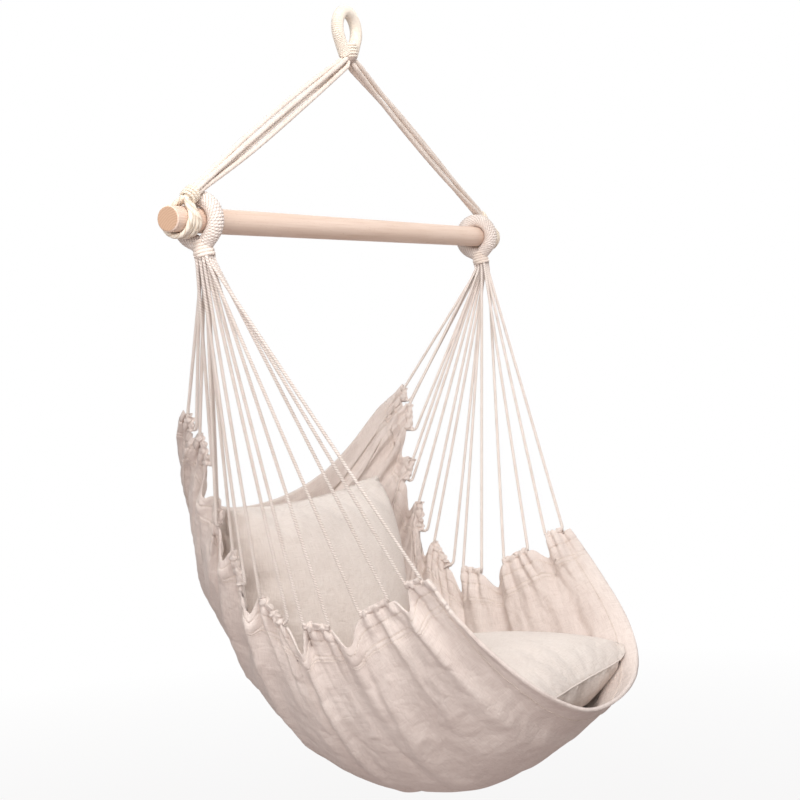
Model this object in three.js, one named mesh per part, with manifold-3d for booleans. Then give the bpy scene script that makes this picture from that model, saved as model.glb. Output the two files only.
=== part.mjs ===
// A hammock chair: a whipped hanging eye, a cord harness, a round wooden spreader bar,
// two whipped rings that carry sixteen looped cords, a gathered canvas seat and two cushions.
// Millimetres. +X along the bar, the sitter faces -Y, +Z up.
// The origin is where a hook bears: the inner top of the hanging eye.
import * as THREE from 'three';
import { mergeVertices } from 'three/addons/utils/BufferGeometryUtils.js';
import Module from 'manifold-3d';

const wasm = await Module();
wasm.setup();

// Clearances
const restGap = 0.3; // between neighbours that touch
const barClearance = 0.45; // between the bar and what is looped round it
const liftGap = 1.5; // beside a cushion on its way out
const overrun = 3; // how far one joined solid reaches into the other

// Spreader bar
const barLength = 1000;
const barDiameter = 35;
const barEndRound = 1.8;
const barDrop = 333; // from the bearing point down to the bar's axis

// Hanging eye: a rope loop, whipped all round, that ends in a knob
const eyeRopeDiameter = 20; // over the whipping
const eyeWidth = 58; // between the legs' centre lines, at the widest
const eyeWhippingDiameter = 5;
const eyeWhippingTurns = 19;
const eyeWhippingInset = 9; // from each end of the loop
const knobDiameter = 28;
const knobDrop = 59; // from the bearing point down to the knob's centre
const knobCollarHeight = 5;

// Harness: four strands a side, each doubled round the bar
const strandDiameter = 6.4;
const strandSpacing = 6.8;
const harnessInset = 31; // from the bar's end to the middle of the loops
const harnessNeckStart = 27; // above the bar's axis
const harnessNeckHeight = 21;
const harnessNeckTiltDegrees = 50; // inboard, towards the strands
const harnessNeckDiameter = 22; // over its whipping
const harnessRollDegrees = { left: 20, right: -3 }; // of each neck round the bar, to the front
const harnessWhippingStart = 4.5; // above the neck's start
const harnessLegSpread = 3.6; // of a loop's leg from the neck's centre, where it enters

// Whipping of the necks
const neckWhippingDiameter = 3.2;
const neckWhippingTurns = 3;

// Side rings, whipped all round, that run on the bar
const ringInset = 68; // from the bar's end to the ring's middle plane
const ringRopeDiameter = 20; // over the whipping
const ringWhippingDiameter = 4.5;
const ringWhippingTurns = 15;
const ringWhippingInset = 6; // from each end of the loop
const ringLegSpread = 5.5; // of a leg from the neck's centre, where it enters
const ringNeckStart = 32; // below the bar's axis
const ringNeckHeight = 18;
const ringLeanDegrees = 9; // of the necks towards the front, in line with the cords

// Suspension cords: eight a side, each with two legs and a run in the hem
const cordDiameter = 5;
const cordSpacing = 5.7;
const cordStraightLead = 8;
const cordBendRadius = 6;
const cordBendWidth = 13.2; // between the two corners of a cord that turns back
const cordSharpTurnDegrees = 108; // from which a cord turns back round two corners

// Canvas seat
const seatHalfWidth = 330; // at the rear corners
const seatDepth = 639; // from the rearmost to the foremost point of the centre line
const seatRear = 247; // from the bar's axis back to the rearmost point
const seatDrop = 886; // from the bar's axis down to the lowest point
const canvasThickness = 2;
const casingWall = 1.7; // of the hem's casing round a cord
const notchDepth = 40; // of the deepest dip of the hem between two cords
const hemCornerReach = 9; // of the hem past its first and last cord
const foldHeight = 9; // of the gathers below the hem
const foldSpacing = 40; // of two legs that the gathers between them reach that height at
const frontBulge = 10; // of the front edge, forward, either side of its middle
const rearRise = 26; // of the rear edge, up, either side of its middle

// Cushions
const seatCushionWidth = 425;
const seatCushionLength = 520;
const seatCushionCrown = 87;
const seatCushionFront = 362; // from the bar's axis forward to its front seam
const seatCushionFrontDrop = 700; // from the bar's axis down to its front seam
const seatCushionTiltDegrees = 9;
const backCushionWidth = 460;
const backCushionHeight = 400;
const backCushionCrown = 118;
const backCushionTop = 416; // from the bar's axis down to its top seam
const backCushionRear = 122; // from the bar's axis back to its seam
const backCushionTiltDegrees = 1;
const cushionDrawShare = 0.07; // how far a side pulls in between two corners
const cushionSwellPower = 0.42; // of how fast a cushion swells from its seams

// How each cushion comes out: its angle above straight forward, and the steps tried on the way
const seatCushionLiftDegrees = 60;
const backCushionLiftDegrees = 78.5;
const liftSteps = [5, 15, 25, 35, 46, 70, 120];

// Where each cord leg meets the hem, rear to front: as shares of seatHalfWidth across,
// seatDepth forward from the rearmost point, and seatDrop down
const hemShares = [
  [1, 0.213, 0.301], [0.988, 0.224, 0.327], [0.976, 0.234, 0.334], [0.945, 0.246, 0.386],
  [0.921, 0.251, 0.443], [0.903, 0.240, 0.487], [0.885, 0.272, 0.529], [0.864, 0.288, 0.587],
  [0.842, 0.324, 0.609], [0.812, 0.380, 0.651], [0.794, 0.421, 0.659], [0.77, 0.483, 0.661],
  [0.745, 0.557, 0.639], [0.739, 0.630, 0.614], [0.752, 0.680, 0.589], [0.776, 0.725, 0.576],
];
// The seat's centre line, from the top edge of the back down and forward to the front edge
const centreShares = [
  [0.039, 0.494], [0.000, 0.628], [0.043, 0.759], [0.194, 0.914],
  [0.363, 0.991], [0.609, 0.996], [0.813, 0.935], [1.000, 0.822],
];
// The power of the seat's cross-section, as a polynomial of the place from rear to front
const sectionPowerShares = [2.0, -1.5, 1.8];
// How fast the front bulge and the rear rise fade away from their edge, as a power
const edgeFadePower = 6;
// How deep the hem dips between two pairs of legs, as a share of notchDepth
const notchShares = [0.22, 0.7, 0.75, 0.85, 1.0, 0.8, 0.7];
// Up to which share a dip is narrow, and where its columns stand between the two cords
const narrowNotchShare = 0.5;
const narrowNotchShares = [0.5];
const wideNotchShares = [0.3, 0.7];
// Where the rows of the canvas lie, as shares of the way from the centre line to the hem
const rowShares = [0, 0.2, 0.4, 0.6, 0.8, 1];
// How much of the fold's height each of those rows has
const foldRowShares = [0, 0.1, 0.35, 0.75, 1, 0.3];
// The harness strands, as shares of their spacing: how far the lower ones stand below the upper
// at the knob, how far all sink towards the knob, and how far they stand out of their flat ribbon
const strandDropShare = 1.1;
const strandLowShare = 0.6;
const strandThicknessShare = 1 / 3;
// Their straight leads as a share of their diameter, and where they are guided along their length
const strandLeadShare = 1.2;
const strandMiddleShares = [0.3, 0.7];
// The row of the neck's pattern that each leg starts in, the inmost first
const legRows = [1, 2, 0, 3, 0, 1, 2, 3, 3, 2, 1, 0, 3, 0, 1, 2];

// Tessellation counts
const barSides = 32;
const neckSides = 14;
const loopSides = 6;
const cordSides = 8;
const loopSteps = 14;
const strandSteps = 6;
const whippingStepsPerTurn = 8;
const whippingSides = 5;
const cordBendSteps = 3;
const casingSides = 6;
const cushionCells = 10;
const knobRings = 5;
const gapSamples = 4;

// Materials
const material = (color, roughness) => new THREE.MeshStandardMaterial({ color, roughness, metalness: 0 });
const cottonCord = material(0xe9dccd, 0.9);
const creamCord = material(0xf0e6d4, 0.88);
const beech = material(0xe3bd98, 0.55);
const canvas = material(0xdfd0c3, 0.92);
const cushionCloth = material(0xe3d6cb, 0.92);

const vec = (x, y, z) => new THREE.Vector3(x, y, z);
const barAxis = vec(1, 0, 0);
const sides = [['left', -1], ['right', 1]];
const along = (from, direction, distance) => from.clone().addScaledVector(direction, distance);
const heading = (from, to) => to.clone().sub(from).normalize();

// Solids: joining and cutting

function weld(geometry) {
  const bare = geometry.index ? geometry.clone() : geometry;
  bare.deleteAttribute('normal');
  bare.deleteAttribute('uv');
  return mergeVertices(bare, restGap / 100);
}

function toSolid(geometry) {
  const welded = weld(geometry);
  return new wasm.Manifold(new wasm.Mesh({
    numProp: 3,
    vertProperties: new Float32Array(welded.attributes.position.array),
    triVerts: new Uint32Array(welded.index.array),
  }));
}

function toGeometry(solid) {
  const mesh = solid.getMesh();
  const geometry = new THREE.BufferGeometry();
  geometry.setAttribute('position', new THREE.BufferAttribute(mesh.vertProperties, 3));
  geometry.setIndex(new THREE.BufferAttribute(mesh.triVerts, 1));
  return geometry;
}

const join = (geometries) => toGeometry(geometries.map(toSolid).reduce((all, one) => all.add(one)));

function largestPart(solid) {
  const parts = solid.decompose();
  return parts.reduce((best, one) => (one.volume() > best.volume() ? one : best));
}

// Tubes along a route of points, one section at each point

class Route extends THREE.Curve {
  constructor(points) {
    super();
    this.points = points;
  }

  getPoint(t, target = new THREE.Vector3()) {
    const place = Math.min(Math.max(t, 0), 1) * (this.points.length - 1);
    const first = Math.min(Math.floor(place), this.points.length - 2);
    return target.lerpVectors(this.points[first], this.points[first + 1], place - first);
  }

  getPointAt(u, target) {
    return this.getPoint(u, target);
  }

  getTangentAt(u, target = new THREE.Vector3()) {
    const last = this.points.length - 1;
    const here = Math.round(u * last);
    const before = this.points[Math.max(here - 1, 0)];
    const at = this.points[here];
    const after = this.points[Math.min(here + 1, last)];
    if (here > 0) target.add(heading(before, at));
    if (here < last) target.add(heading(at, after));
    return target.normalize();
  }
}

function tube(points, diameter, sides) {
  const section = new THREE.Shape();
  for (let i = 0; i < sides; i += 1) {
    const angle = (2 * Math.PI * i) / sides;
    const x = Math.cos(angle) * diameter / 2;
    const y = Math.sin(angle) * diameter / 2;
    if (i === 0) section.moveTo(x, y);
    else section.lineTo(x, y);
  }
  section.closePath();
  return weld(new THREE.ExtrudeGeometry(section, {
    steps: points.length - 1,
    extrudePath: new Route(points),
    bevelEnabled: false,
  }));
}

// An arc that rounds the corner of a route, from one heading to the next
function bend(corner, incoming, outgoing, radius, steps) {
  const turn = incoming.angleTo(outgoing);
  const setback = radius * Math.tan(turn / 2);
  const inward = outgoing.clone().addScaledVector(incoming, -incoming.dot(outgoing)).normalize();
  const start = along(corner, incoming, -setback);
  const centre = along(start, inward, radius);
  const points = [];
  for (let i = 0; i <= steps; i += 1) {
    const angle = (turn * i) / steps;
    const rim = along(centre, inward, -radius * Math.cos(angle));
    points.push(rim.addScaledVector(incoming, radius * Math.sin(angle)));
  }
  return points;
}

// A solid of revolution about +Z from [radius, height] pairs, bottom to top
function turned(profile, sides) {
  const outline = profile.map(([radius, height]) => new THREE.Vector2(radius, height));
  return weld(new THREE.LatheGeometry(outline, sides).rotateX(Math.PI / 2));
}

// Rope loops that end in a neck below them. The loop lies in the XZ plane about the origin.

function loopRoute(radius, neckStart, legSpread, buried) {
  const lean = Math.atan2(legSpread, neckStart);
  const tangentAngle = lean + Math.acos(radius / Math.hypot(legSpread, neckStart));
  const points = [vec(-legSpread, 0, -neckStart - buried), vec(-legSpread, 0, -neckStart)];
  for (let i = 0; i <= loopSteps; i += 1) {
    const angle = tangentAngle + ((2 * Math.PI - 2 * tangentAngle) * i) / loopSteps;
    points.push(vec(-radius * Math.sin(angle), 0, -radius * Math.cos(angle)));
  }
  points.push(vec(legSpread, 0, -neckStart), vec(legSpread, 0, -neckStart - buried));
  return points;
}

// The radius of a core that turns of whipping clear, when the outside is a given diameter
function coreRadius(outerDiameter, whippingDiameter) {
  const turnRadius = (outerDiameter - whippingDiameter) / 2;
  return turnRadius * Math.cos(Math.PI / whippingStepsPerTurn) - whippingDiameter / 2 - restGap;
}

// One cord wound round a route that lies in the XZ plane, with a straight tail at each end
function whipping(name, route, outerDiameter, cord, turns, inset) {
  const turnRadius = (outerDiameter - cord) / 2;
  const lengths = [0];
  for (let i = 1; i < route.length; i += 1) lengths.push(lengths[i - 1] + route[i].distanceTo(route[i - 1]));
  const total = lengths[lengths.length - 1];
  const centreAt = (distance) => {
    let i = 1;
    while (i < route.length - 1 && lengths[i] < distance) i += 1;
    const share = (distance - lengths[i - 1]) / (lengths[i] - lengths[i - 1]);
    return route[i - 1].clone().lerp(route[i], share);
  };
  const wound = total - 2 * inset;
  const steps = turns * whippingStepsPerTurn;
  const turnPoint = (step) => {
    const distance = inset + (wound * step) / steps;
    const centre = centreAt(distance);
    const direction = heading(centreAt(distance - cord), centreAt(distance + cord));
    const side = new THREE.Vector3(0, 1, 0);
    const outward = side.clone().cross(direction);
    const angle = (2 * Math.PI * step) / whippingStepsPerTurn;
    return centre.addScaledVector(side, turnRadius * Math.cos(angle))
      .addScaledVector(outward, turnRadius * Math.sin(angle));
  };
  const points = [];
  for (let step = 0; step <= steps; step += 1) points.push(turnPoint(step));
  const first = along(points[0], heading(points[1], points[0]), cord);
  const last = along(points[steps], heading(points[steps - 1], points[steps]), cord);
  let least = Infinity;
  const fine = [];
  for (let i = 0; i < steps; i += 1) {
    for (let k = 0; k < gapSamples; k += 1) fine.push(points[i].clone().lerp(points[i + 1], k / gapSamples));
  }
  const apart = whippingStepsPerTurn * gapSamples / 2;
  for (let i = 0; i < fine.length; i += 1) {
    for (let k = i + apart; k < fine.length; k += 1) least = Math.min(least, fine[i].distanceTo(fine[k]));
  }
  console.log(`${name}: least gap between turns ${(least - cord).toFixed(2)} mm`);
  return tube([first, ...points, last], cord, whippingSides);
}

// Frames: the scene graph

const chair = new THREE.Group();
const barFrame = new THREE.Group();
barFrame.position.z = -barDrop;
chair.add(barFrame);

function addMesh(parent, name, geometry, finish) {
  const mesh = new THREE.Mesh(geometry, finish);
  mesh.name = name;
  parent.add(mesh);
  return mesh;
}

// Hanging eye

const eyeRadius = eyeWidth / 2;
const eyeCentreDrop = eyeRadius - eyeRopeDiameter / 2;
const eyeLegSpread = eyeRopeDiameter / 2 + restGap;
const eyeNeckStart = knobDrop - knobCollarHeight - eyeCentreDrop + eyeRopeDiameter / 4;
const eyeRoute = loopRoute(eyeRadius, eyeNeckStart, eyeLegSpread, overrun);

function knobGeometry() {
  const radius = knobDiameter / 2;
  const profile = [];
  for (let i = 0; i <= knobRings; i += 1) {
    const angle = (Math.PI / 2) * (i / knobRings);
    profile.push([radius * Math.sin(angle), -radius * Math.cos(angle)]);
  }
  profile.push([radius, knobCollarHeight - barEndRound]);
  profile.push([radius - barEndRound, knobCollarHeight]);
  profile.push([0, knobCollarHeight]);
  return turned(profile, neckSides);
}

const eyeCoreDiameter = 2 * coreRadius(eyeRopeDiameter, eyeWhippingDiameter);
const eyeCore = tube(eyeRoute, eyeCoreDiameter, cordSides).translate(0, 0, -eyeCentreDrop);
const knob = knobGeometry().translate(0, 0, -knobDrop);
addMesh(chair, 'hanging_eye', join([eyeCore, knob]), cottonCord);

const eyeWoundRoute = eyeRoute.slice(1, -1);
const eyeTurns = whipping(
  'eye_whipping', eyeWoundRoute, eyeRopeDiameter, eyeWhippingDiameter, eyeWhippingTurns, eyeWhippingInset,
);
addMesh(chair, 'eye_whipping', eyeTurns.translate(0, 0, -eyeCentreDrop), cottonCord);

// Spreader bar

function barGeometry() {
  const radius = barDiameter / 2;
  const half = barLength / 2;
  return turned([
    [0, -half], [radius - barEndRound, -half], [radius, barEndRound - half],
    [radius, half - barEndRound], [radius - barEndRound, half], [0, half],
  ], barSides).rotateY(Math.PI / 2);
}
addMesh(barFrame, 'spreader_bar', barGeometry(), beech);

// A neck of bound cords, from its base at z = 0 up to its end face, which flares to the cords
function neckFlare(height, outerDiameter, faceRadius) {
  const core = coreRadius(outerDiameter, neckWhippingDiameter);
  const face = Math.max(faceRadius, core);
  return { core, face, start: height - neckWhippingDiameter / 2 - (face - core) / 2 };
}

function neckCore(height, outerDiameter, faceRadius) {
  const { core, face, start } = neckFlare(height, outerDiameter, faceRadius);
  return turned([
    [0, 0], [core, 0], [core, start], [face, height - neckWhippingDiameter / 2], [face, height], [0, height],
  ], neckSides);
}

function neckWhipping(name, base, height, outerDiameter, faceRadius) {
  const { start } = neckFlare(height, outerDiameter, faceRadius);
  const route = [vec(0, 0, base), vec(0, 0, start)];
  const inset = neckWhippingDiameter / 2;
  return whipping(name, route, outerDiameter, neckWhippingDiameter, neckWhippingTurns, inset);
}

// Harness, one side at a time

const strandPattern = [[1, 1], [1, -1], [-1, 1], [-1, -1]]; // outboard or inboard, rear or front
const strandRowPlaces = strandPattern.map((pattern, i) => (strandPattern.length - 1) / 2 - i);
const harnessFaceRadius = strandSpacing / Math.SQRT2 + strandDiameter / 2;
const harnessTilt = THREE.MathUtils.degToRad(harnessNeckTiltDegrees);

function harnessLoop() {
  const radius = barDiameter / 2 + barClearance + strandDiameter / 2;
  const route = loopRoute(radius, harnessNeckStart, harnessLegSpread, overrun);
  const last = route.length - 1;
  const pieces = strandRowPlaces.map((place) => {
    const points = route.map((point, i) => {
      const inNeck = Math.min(i, last - i) < 2;
      return vec(point.x, place * (inNeck ? strandDiameter / 4 : strandDiameter + restGap), point.z);
    });
    return tube(points, strandDiameter, loopSides);
  });
  const neck = neckCore(harnessNeckHeight, harnessNeckDiameter, harnessFaceRadius)
    .rotateX(Math.PI).translate(0, 0, -harnessNeckStart);
  return { pieces, neck };
}

for (const [sideName, side] of sides) {
  const place = side * (barLength / 2 - harnessInset);
  const frame = new THREE.Group();
  frame.position.x = place;
  frame.rotation.x = THREE.MathUtils.degToRad(harnessRollDegrees[sideName]);
  barFrame.add(frame);
  // A loop is drawn with its neck below, so it is turned over, and across the bar
  const turnOver = (geometry) => geometry.rotateX(Math.PI).rotateZ(Math.PI / 2);
  const tilt = (geometry) => geometry.translate(0, 0, -harnessNeckStart).rotateY(-side * harnessTilt)
    .translate(0, 0, harnessNeckStart);
  const { pieces, neck } = harnessLoop();
  const solids = [...pieces.map(turnOver), tilt(turnOver(neck))];
  addMesh(frame, `harness_loop_${sideName}`, join(solids), creamCord);
  const whippingName = `harness_neck_whipping_${sideName}`;
  const turns = neckWhipping(
    whippingName, harnessWhippingStart, harnessNeckHeight, harnessNeckDiameter, harnessFaceRadius,
  );
  addMesh(frame, whippingName, tilt(turns.translate(0, 0, harnessNeckStart)), creamCord);

  // Strands, from the neck up to the knob, in the bar's frame
  const rolled = (direction) => direction.applyQuaternion(frame.quaternion);
  const neckAxis = rolled(vec(-side * Math.sin(harnessTilt), 0, Math.cos(harnessTilt)));
  const neckAcross = rolled(vec(side * Math.cos(harnessTilt), 0, Math.sin(harnessTilt)));
  const neckRear = rolled(vec(0, 1, 0));
  const neckBase = rolled(vec(0, 0, harnessNeckStart)).add(frame.position);
  const neckTop = along(neckBase, neckAxis, harnessNeckHeight + restGap);
  const knobCentre = vec(0, 0, barDrop - knobDrop);
  const pull = heading(neckTop, knobCentre);
  const ribbon = vec(side * pull.z, 0, Math.abs(pull.x));
  const seatRadius = knobDiameter / 2 + restGap;
  const upperAngle = Math.atan2(Math.abs(pull.x), Math.abs(pull.z));
  const lowerAngle = upperAngle - strandDropShare * strandSpacing / seatRadius;
  strandPattern.forEach(([outboard, rear], i) => {
    const start = neckTop.clone()
      .addScaledVector(neckAcross, outboard * strandSpacing / 2)
      .addScaledVector(neckRear, rear * strandSpacing / 2);
    const angle = outboard > 0 ? upperAngle : lowerAngle;
    const across = Math.asin(strandSpacing / 2 / seatRadius) * rear;
    const radial = vec(side * Math.sin(angle) * Math.cos(across), Math.sin(across),
      -Math.cos(angle) * Math.cos(across)).normalize();
    const end = along(knobCentre, radial, seatRadius);
    const mitre = outboard * strandSpacing / 2 * Math.tan(neckAxis.angleTo(pull) / 2);
    const lead = strandLeadShare * strandDiameter;
    const middle = strandMiddleShares.map((share) => {
      const point = neckTop.clone().lerp(knobCentre, share);
      point.y += rear * strandThicknessShare * strandSpacing;
      return point.addScaledVector(ribbon, (strandRowPlaces[i] - strandLowShare * share) * strandSpacing);
    });
    const spline = new THREE.CatmullRomCurve3(
      [along(start, neckAxis, lead + mitre), ...middle, along(end, radial, lead)], false, 'centripetal');
    const points = [start, ...spline.getSpacedPoints(strandSteps), end];
    const strand = tube(points, strandDiameter, cordSides);
    addMesh(barFrame, `harness_strand_${sideName}_${i + 1}`, strand, cottonCord);
  });
}

// Side rings

const ringRadius = barDiameter / 2 + barClearance + ringRopeDiameter / 2;
const legsPerRow = Math.sqrt(legRows.length);
const ringNeckFace = Math.SQRT2 * cordSpacing * (legsPerRow - 1) / 2 + cordDiameter / 2;
const ringNeckDiameter = 2 * ringNeckFace;
const ringCoreDiameter = 2 * coreRadius(ringRopeDiameter, ringWhippingDiameter);
const ringRoute = loopRoute(ringRadius, ringNeckStart, ringLegSpread, overrun);
const ringPlace = barLength / 2 - ringInset;
const ringLean = THREE.MathUtils.degToRad(ringLeanDegrees);

for (const [sideName, side] of sides) {
  const frame = new THREE.Group();
  frame.position.x = side * ringPlace;
  frame.rotation.x = -ringLean;
  barFrame.add(frame);
  const acrossBar = (geometry) => geometry.rotateZ(Math.PI / 2);
  const neck = neckCore(ringNeckHeight, ringNeckDiameter, ringNeckFace)
    .rotateX(Math.PI).translate(0, 0, -ringNeckStart);
  const core = tube(ringRoute, ringCoreDiameter, cordSides);
  addMesh(frame, `side_ring_${sideName}`, acrossBar(join([core, neck])), cottonCord);
  const turns = whipping(`ring_whipping_${sideName}`, ringRoute.slice(1, -1), ringRopeDiameter,
    ringWhippingDiameter, ringWhippingTurns, ringWhippingInset);
  addMesh(frame, `ring_whipping_${sideName}`, acrossBar(turns), cottonCord);
  const neckTurns = neckWhipping(`ring_neck_whipping_${sideName}`, 0, ringNeckHeight, ringNeckDiameter,
    ringNeckFace).rotateX(Math.PI).translate(0, 0, -ringNeckStart);
  addMesh(frame, `ring_neck_whipping_${sideName}`, neckTurns, cottonCord);
}

// Suspension cords

const seatPoint = (across, forward, down) => vec(
  across * seatHalfWidth, seatRear - forward * seatDepth, -down * seatDrop);
const hemPoints = hemShares.map(([across, forward, down]) => seatPoint(across, forward, down));
const centreLine = new THREE.CatmullRomCurve3(
  centreShares.map(([forward, down]) => seatPoint(0, forward, down)), false, 'centripetal');
const onSide = (point, side) => vec(side * point.x, point.y, point.z);

// Where a leg leaves the ring's neck: four rows across, four columns from rear to front
function legStart(leg) {
  const column = Math.floor(leg / legsPerRow);
  const middle = (legsPerRow - 1) / 2;
  const local = vec((legRows[leg] - middle) * cordSpacing, (middle - column) * cordSpacing,
    -ringNeckStart - ringNeckHeight - restGap);
  return local.applyAxisAngle(barAxis, -ringLean).add(vec(ringPlace, 0, 0));
}

const neckDown = vec(0, 0, -1).applyAxisAngle(barAxis, -ringLean);
const sharpTurn = THREE.MathUtils.degToRad(cordSharpTurnDegrees);

// Where a cord turns back on itself it goes round two corners, a bend's width apart
function turnBack(corner, incoming, outgoing) {
  if (incoming.angleTo(outgoing) < sharpTurn) return [corner];
  const aside = outgoing.clone().addScaledVector(incoming, -incoming.dot(outgoing)).normalize();
  return [along(corner, aside, -cordBendWidth / 2), along(corner, aside, cordBendWidth / 2)];
}

// A cord's route on the +X side: down one leg, through the hem, up the next leg
function cordRoute(pair) {
  const [first, second] = [hemPoints[2 * pair], hemPoints[2 * pair + 1]];
  const starts = [legStart(2 * pair), legStart(2 * pair + 1)];
  const leads = starts.map((start) => along(start, neckDown, cordStraightLead));
  const run = heading(first, second);
  const entering = turnBack(first, heading(leads[0], first), run);
  const leaving = turnBack(second, run, heading(second, leads[1]));
  const corners = [leads[0], ...entering, ...leaving, leads[1]];
  const points = [starts[0], leads[0]];
  const bends = [];
  for (let i = 1; i < corners.length - 1; i += 1) {
    bends.push(bend(corners[i], heading(corners[i - 1], corners[i]), heading(corners[i], corners[i + 1]),
      cordBendRadius, cordBendSteps));
  }
  bends.forEach((arc) => points.push(...arc));
  points.push(leads[1], starts[1]);
  const into = bends[entering.length - 1];
  return {
    points,
    run: [entering[entering.length - 1], leaving[0]],
    casing: [into[into.length - 1], bends[entering.length][0]],
  };
}
const pairCount = hemPoints.length / 2;
const cordRoutes = [];
for (let pair = 0; pair < pairCount; pair += 1) cordRoutes.push(cordRoute(pair));

for (const [sideName, side] of sides) {
  cordRoutes.forEach(({ points }, pair) => {
    const sided = points.map((point) => onSide(point, side));
    addMesh(barFrame, `seat_cord_${sideName}_${pair + 1}`, tube(sided, cordDiameter, cordSides), cottonCord);
  });
}

// Canvas seat

const casingApothem = cordDiameter / 2 + restGap + casingWall;
const boreApothem = cordDiameter / 2 + restGap;
const flatToCorner = 1 / Math.cos(Math.PI / casingSides);
const edgeInset = boreApothem + casingWall / 2; // from a cord's run to the canvas edge below it

// Columns of the canvas, rear to front: a point on the hem, its dip, its fold, and the hem's heading
function canvasColumns() {
  const made = [];
  cordRoutes.forEach(({ run: [first, second] }, pair) => {
    const run = heading(first, second);
    if (pair === 0) made.push({ hem: along(first, run, -hemCornerReach), dip: edgeInset, fold: 0, run });
    made.push({ hem: first, dip: edgeInset, fold: 1, run });
    made.push({ hem: second, dip: edgeInset, fold: 1, run });
    if (pair === pairCount - 1) {
      made.push({ hem: along(second, run, hemCornerReach), dip: edgeInset, fold: 0, run });
      return;
    }
    const next = cordRoutes[pair + 1].run[0];
    const ease = Math.min(second.distanceTo(next) / foldSpacing, 1);
    const places = notchShares[pair] > narrowNotchShare ? wideNotchShares : narrowNotchShares;
    places.forEach((place) => {
      const share = Math.sin(Math.PI * place);
      const dip = edgeInset + share * notchShares[pair] * notchDepth;
      const hem = second.clone().lerp(next, place);
      made.push({ hem, dip, fold: -ease * share, run: heading(second, next) });
    });
  });
  const lengths = [0];
  for (let i = 1; i < made.length; i += 1) {
    lengths.push(lengths[i - 1] + made[i].hem.distanceTo(made[i - 1].hem));
  }
  made.forEach((column, i) => {
    column.place = lengths[i] / lengths[made.length - 1];
    column.centre = centreLine.getPointAt(column.place);
    const fall = heading(vec(0, column.hem.y, column.hem.z), column.centre);
    column.inward = fall.addScaledVector(column.run, -fall.dot(column.run)).normalize();
  });
  return made;
}
const columns = canvasColumns();
const rows = [...rowShares.slice(1).reverse().map((share) => -share), ...rowShares];
const foldRows = [...foldRowShares.slice(1).reverse(), ...foldRowShares];

// The seat's cross-section is half an ellipse at the back and squarer under the sitter
const sectionPower = (place) => sectionPowerShares.reduce((sum, share, i) => sum + share * place ** i, 0);

function canvasPoint(column, row) {
  const across = Math.sin(Math.PI / 2 * row);
  const deep = Math.cos(Math.PI / 2 * row);
  const power = 2 / sectionPower(column.place);
  const depth = Math.abs(deep) ** power;
  const x = column.hem.x * Math.sign(across) * Math.abs(across) ** power;
  const y = THREE.MathUtils.lerp(column.hem.y, column.centre.y, depth);
  const z = THREE.MathUtils.lerp(column.hem.z, column.centre.z, depth);
  const sideways = Math.sin(Math.PI * Math.abs(row)) ** 2;
  const bulge = frontBulge * column.place ** edgeFadePower * sideways;
  const rise = rearRise * (1 - column.place) ** edgeFadePower * Math.sin(Math.PI * row * row) ** 2;
  return vec(x, y - bulge, z + rise);
}

function gridIndex(columnCount, rowCount) {
  const index = [];
  for (let i = 0; i < columnCount - 1; i += 1) {
    for (let k = 0; k < rowCount - 1; k += 1) {
      const a = i * rowCount + k;
      const b = a + rowCount;
      index.push(a, b, a + 1, b, b + 1, a + 1);
    }
  }
  return index;
}

function withNormals(points) {
  const geometry = new THREE.BufferGeometry().setFromPoints(points);
  geometry.setIndex(gridIndex(columns.length, rows.length));
  geometry.computeVertexNormals();
  const normals = geometry.getAttribute('normal');
  return points.map((point, i) => vec(normals.getX(i), normals.getY(i), normals.getZ(i)));
}

function canvasSurface() {
  const plain = columns.flatMap((column) => rows.map((row) => canvasPoint(column, row)));
  const plainNormals = withNormals(plain);
  const folded = plain.map((point, i) => {
    const column = columns[Math.floor(i / rows.length)];
    const row = i % rows.length;
    const moved = along(point, plainNormals[i], column.fold * foldHeight * foldRows[row]);
    if (Math.abs(rows[row]) < 1) return moved;
    return point.addScaledVector(onSide(column.inward, Math.sign(rows[row])), column.dip);
  });
  return { plain, plainNormals, folded, foldedNormals: withNormals(folded) };
}
const surface = canvasSurface();

// A closed shell between two layers of the canvas's grid, the inner one first
function shell(inner, outer) {
  const count = inner.length;
  const rowCount = rows.length;
  const faces = gridIndex(columns.length, rowCount);
  const index = [...faces];
  for (let i = 0; i < faces.length; i += 3) {
    index.push(faces[i] + count, faces[i + 2] + count, faces[i + 1] + count);
  }
  const rim = [];
  for (let i = 0; i < columns.length - 1; i += 1) rim.push(i * rowCount);
  for (let k = 0; k < rowCount - 1; k += 1) rim.push((columns.length - 1) * rowCount + k);
  for (let i = columns.length - 1; i > 0; i -= 1) rim.push(i * rowCount + rowCount - 1);
  for (let k = rowCount - 1; k > 0; k -= 1) rim.push(k);
  rim.forEach((a, i) => {
    const b = rim[(i + 1) % rim.length];
    index.push(a, b + count, b, a, a + count, b + count);
  });
  const geometry = new THREE.BufferGeometry().setFromPoints([...inner, ...outer]);
  geometry.setIndex(index);
  return geometry;
}
const layer = (points, normals, distance) => points.map((point, i) => along(point, normals[i], distance));

function casing(side, route, apothem, extra) {
  const [from, to] = route.map((point) => onSide(point, side));
  const run = heading(from, to);
  return tube([along(from, run, -extra), along(to, run, extra)], 2 * apothem * flatToCorner, casingSides);
}

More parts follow.
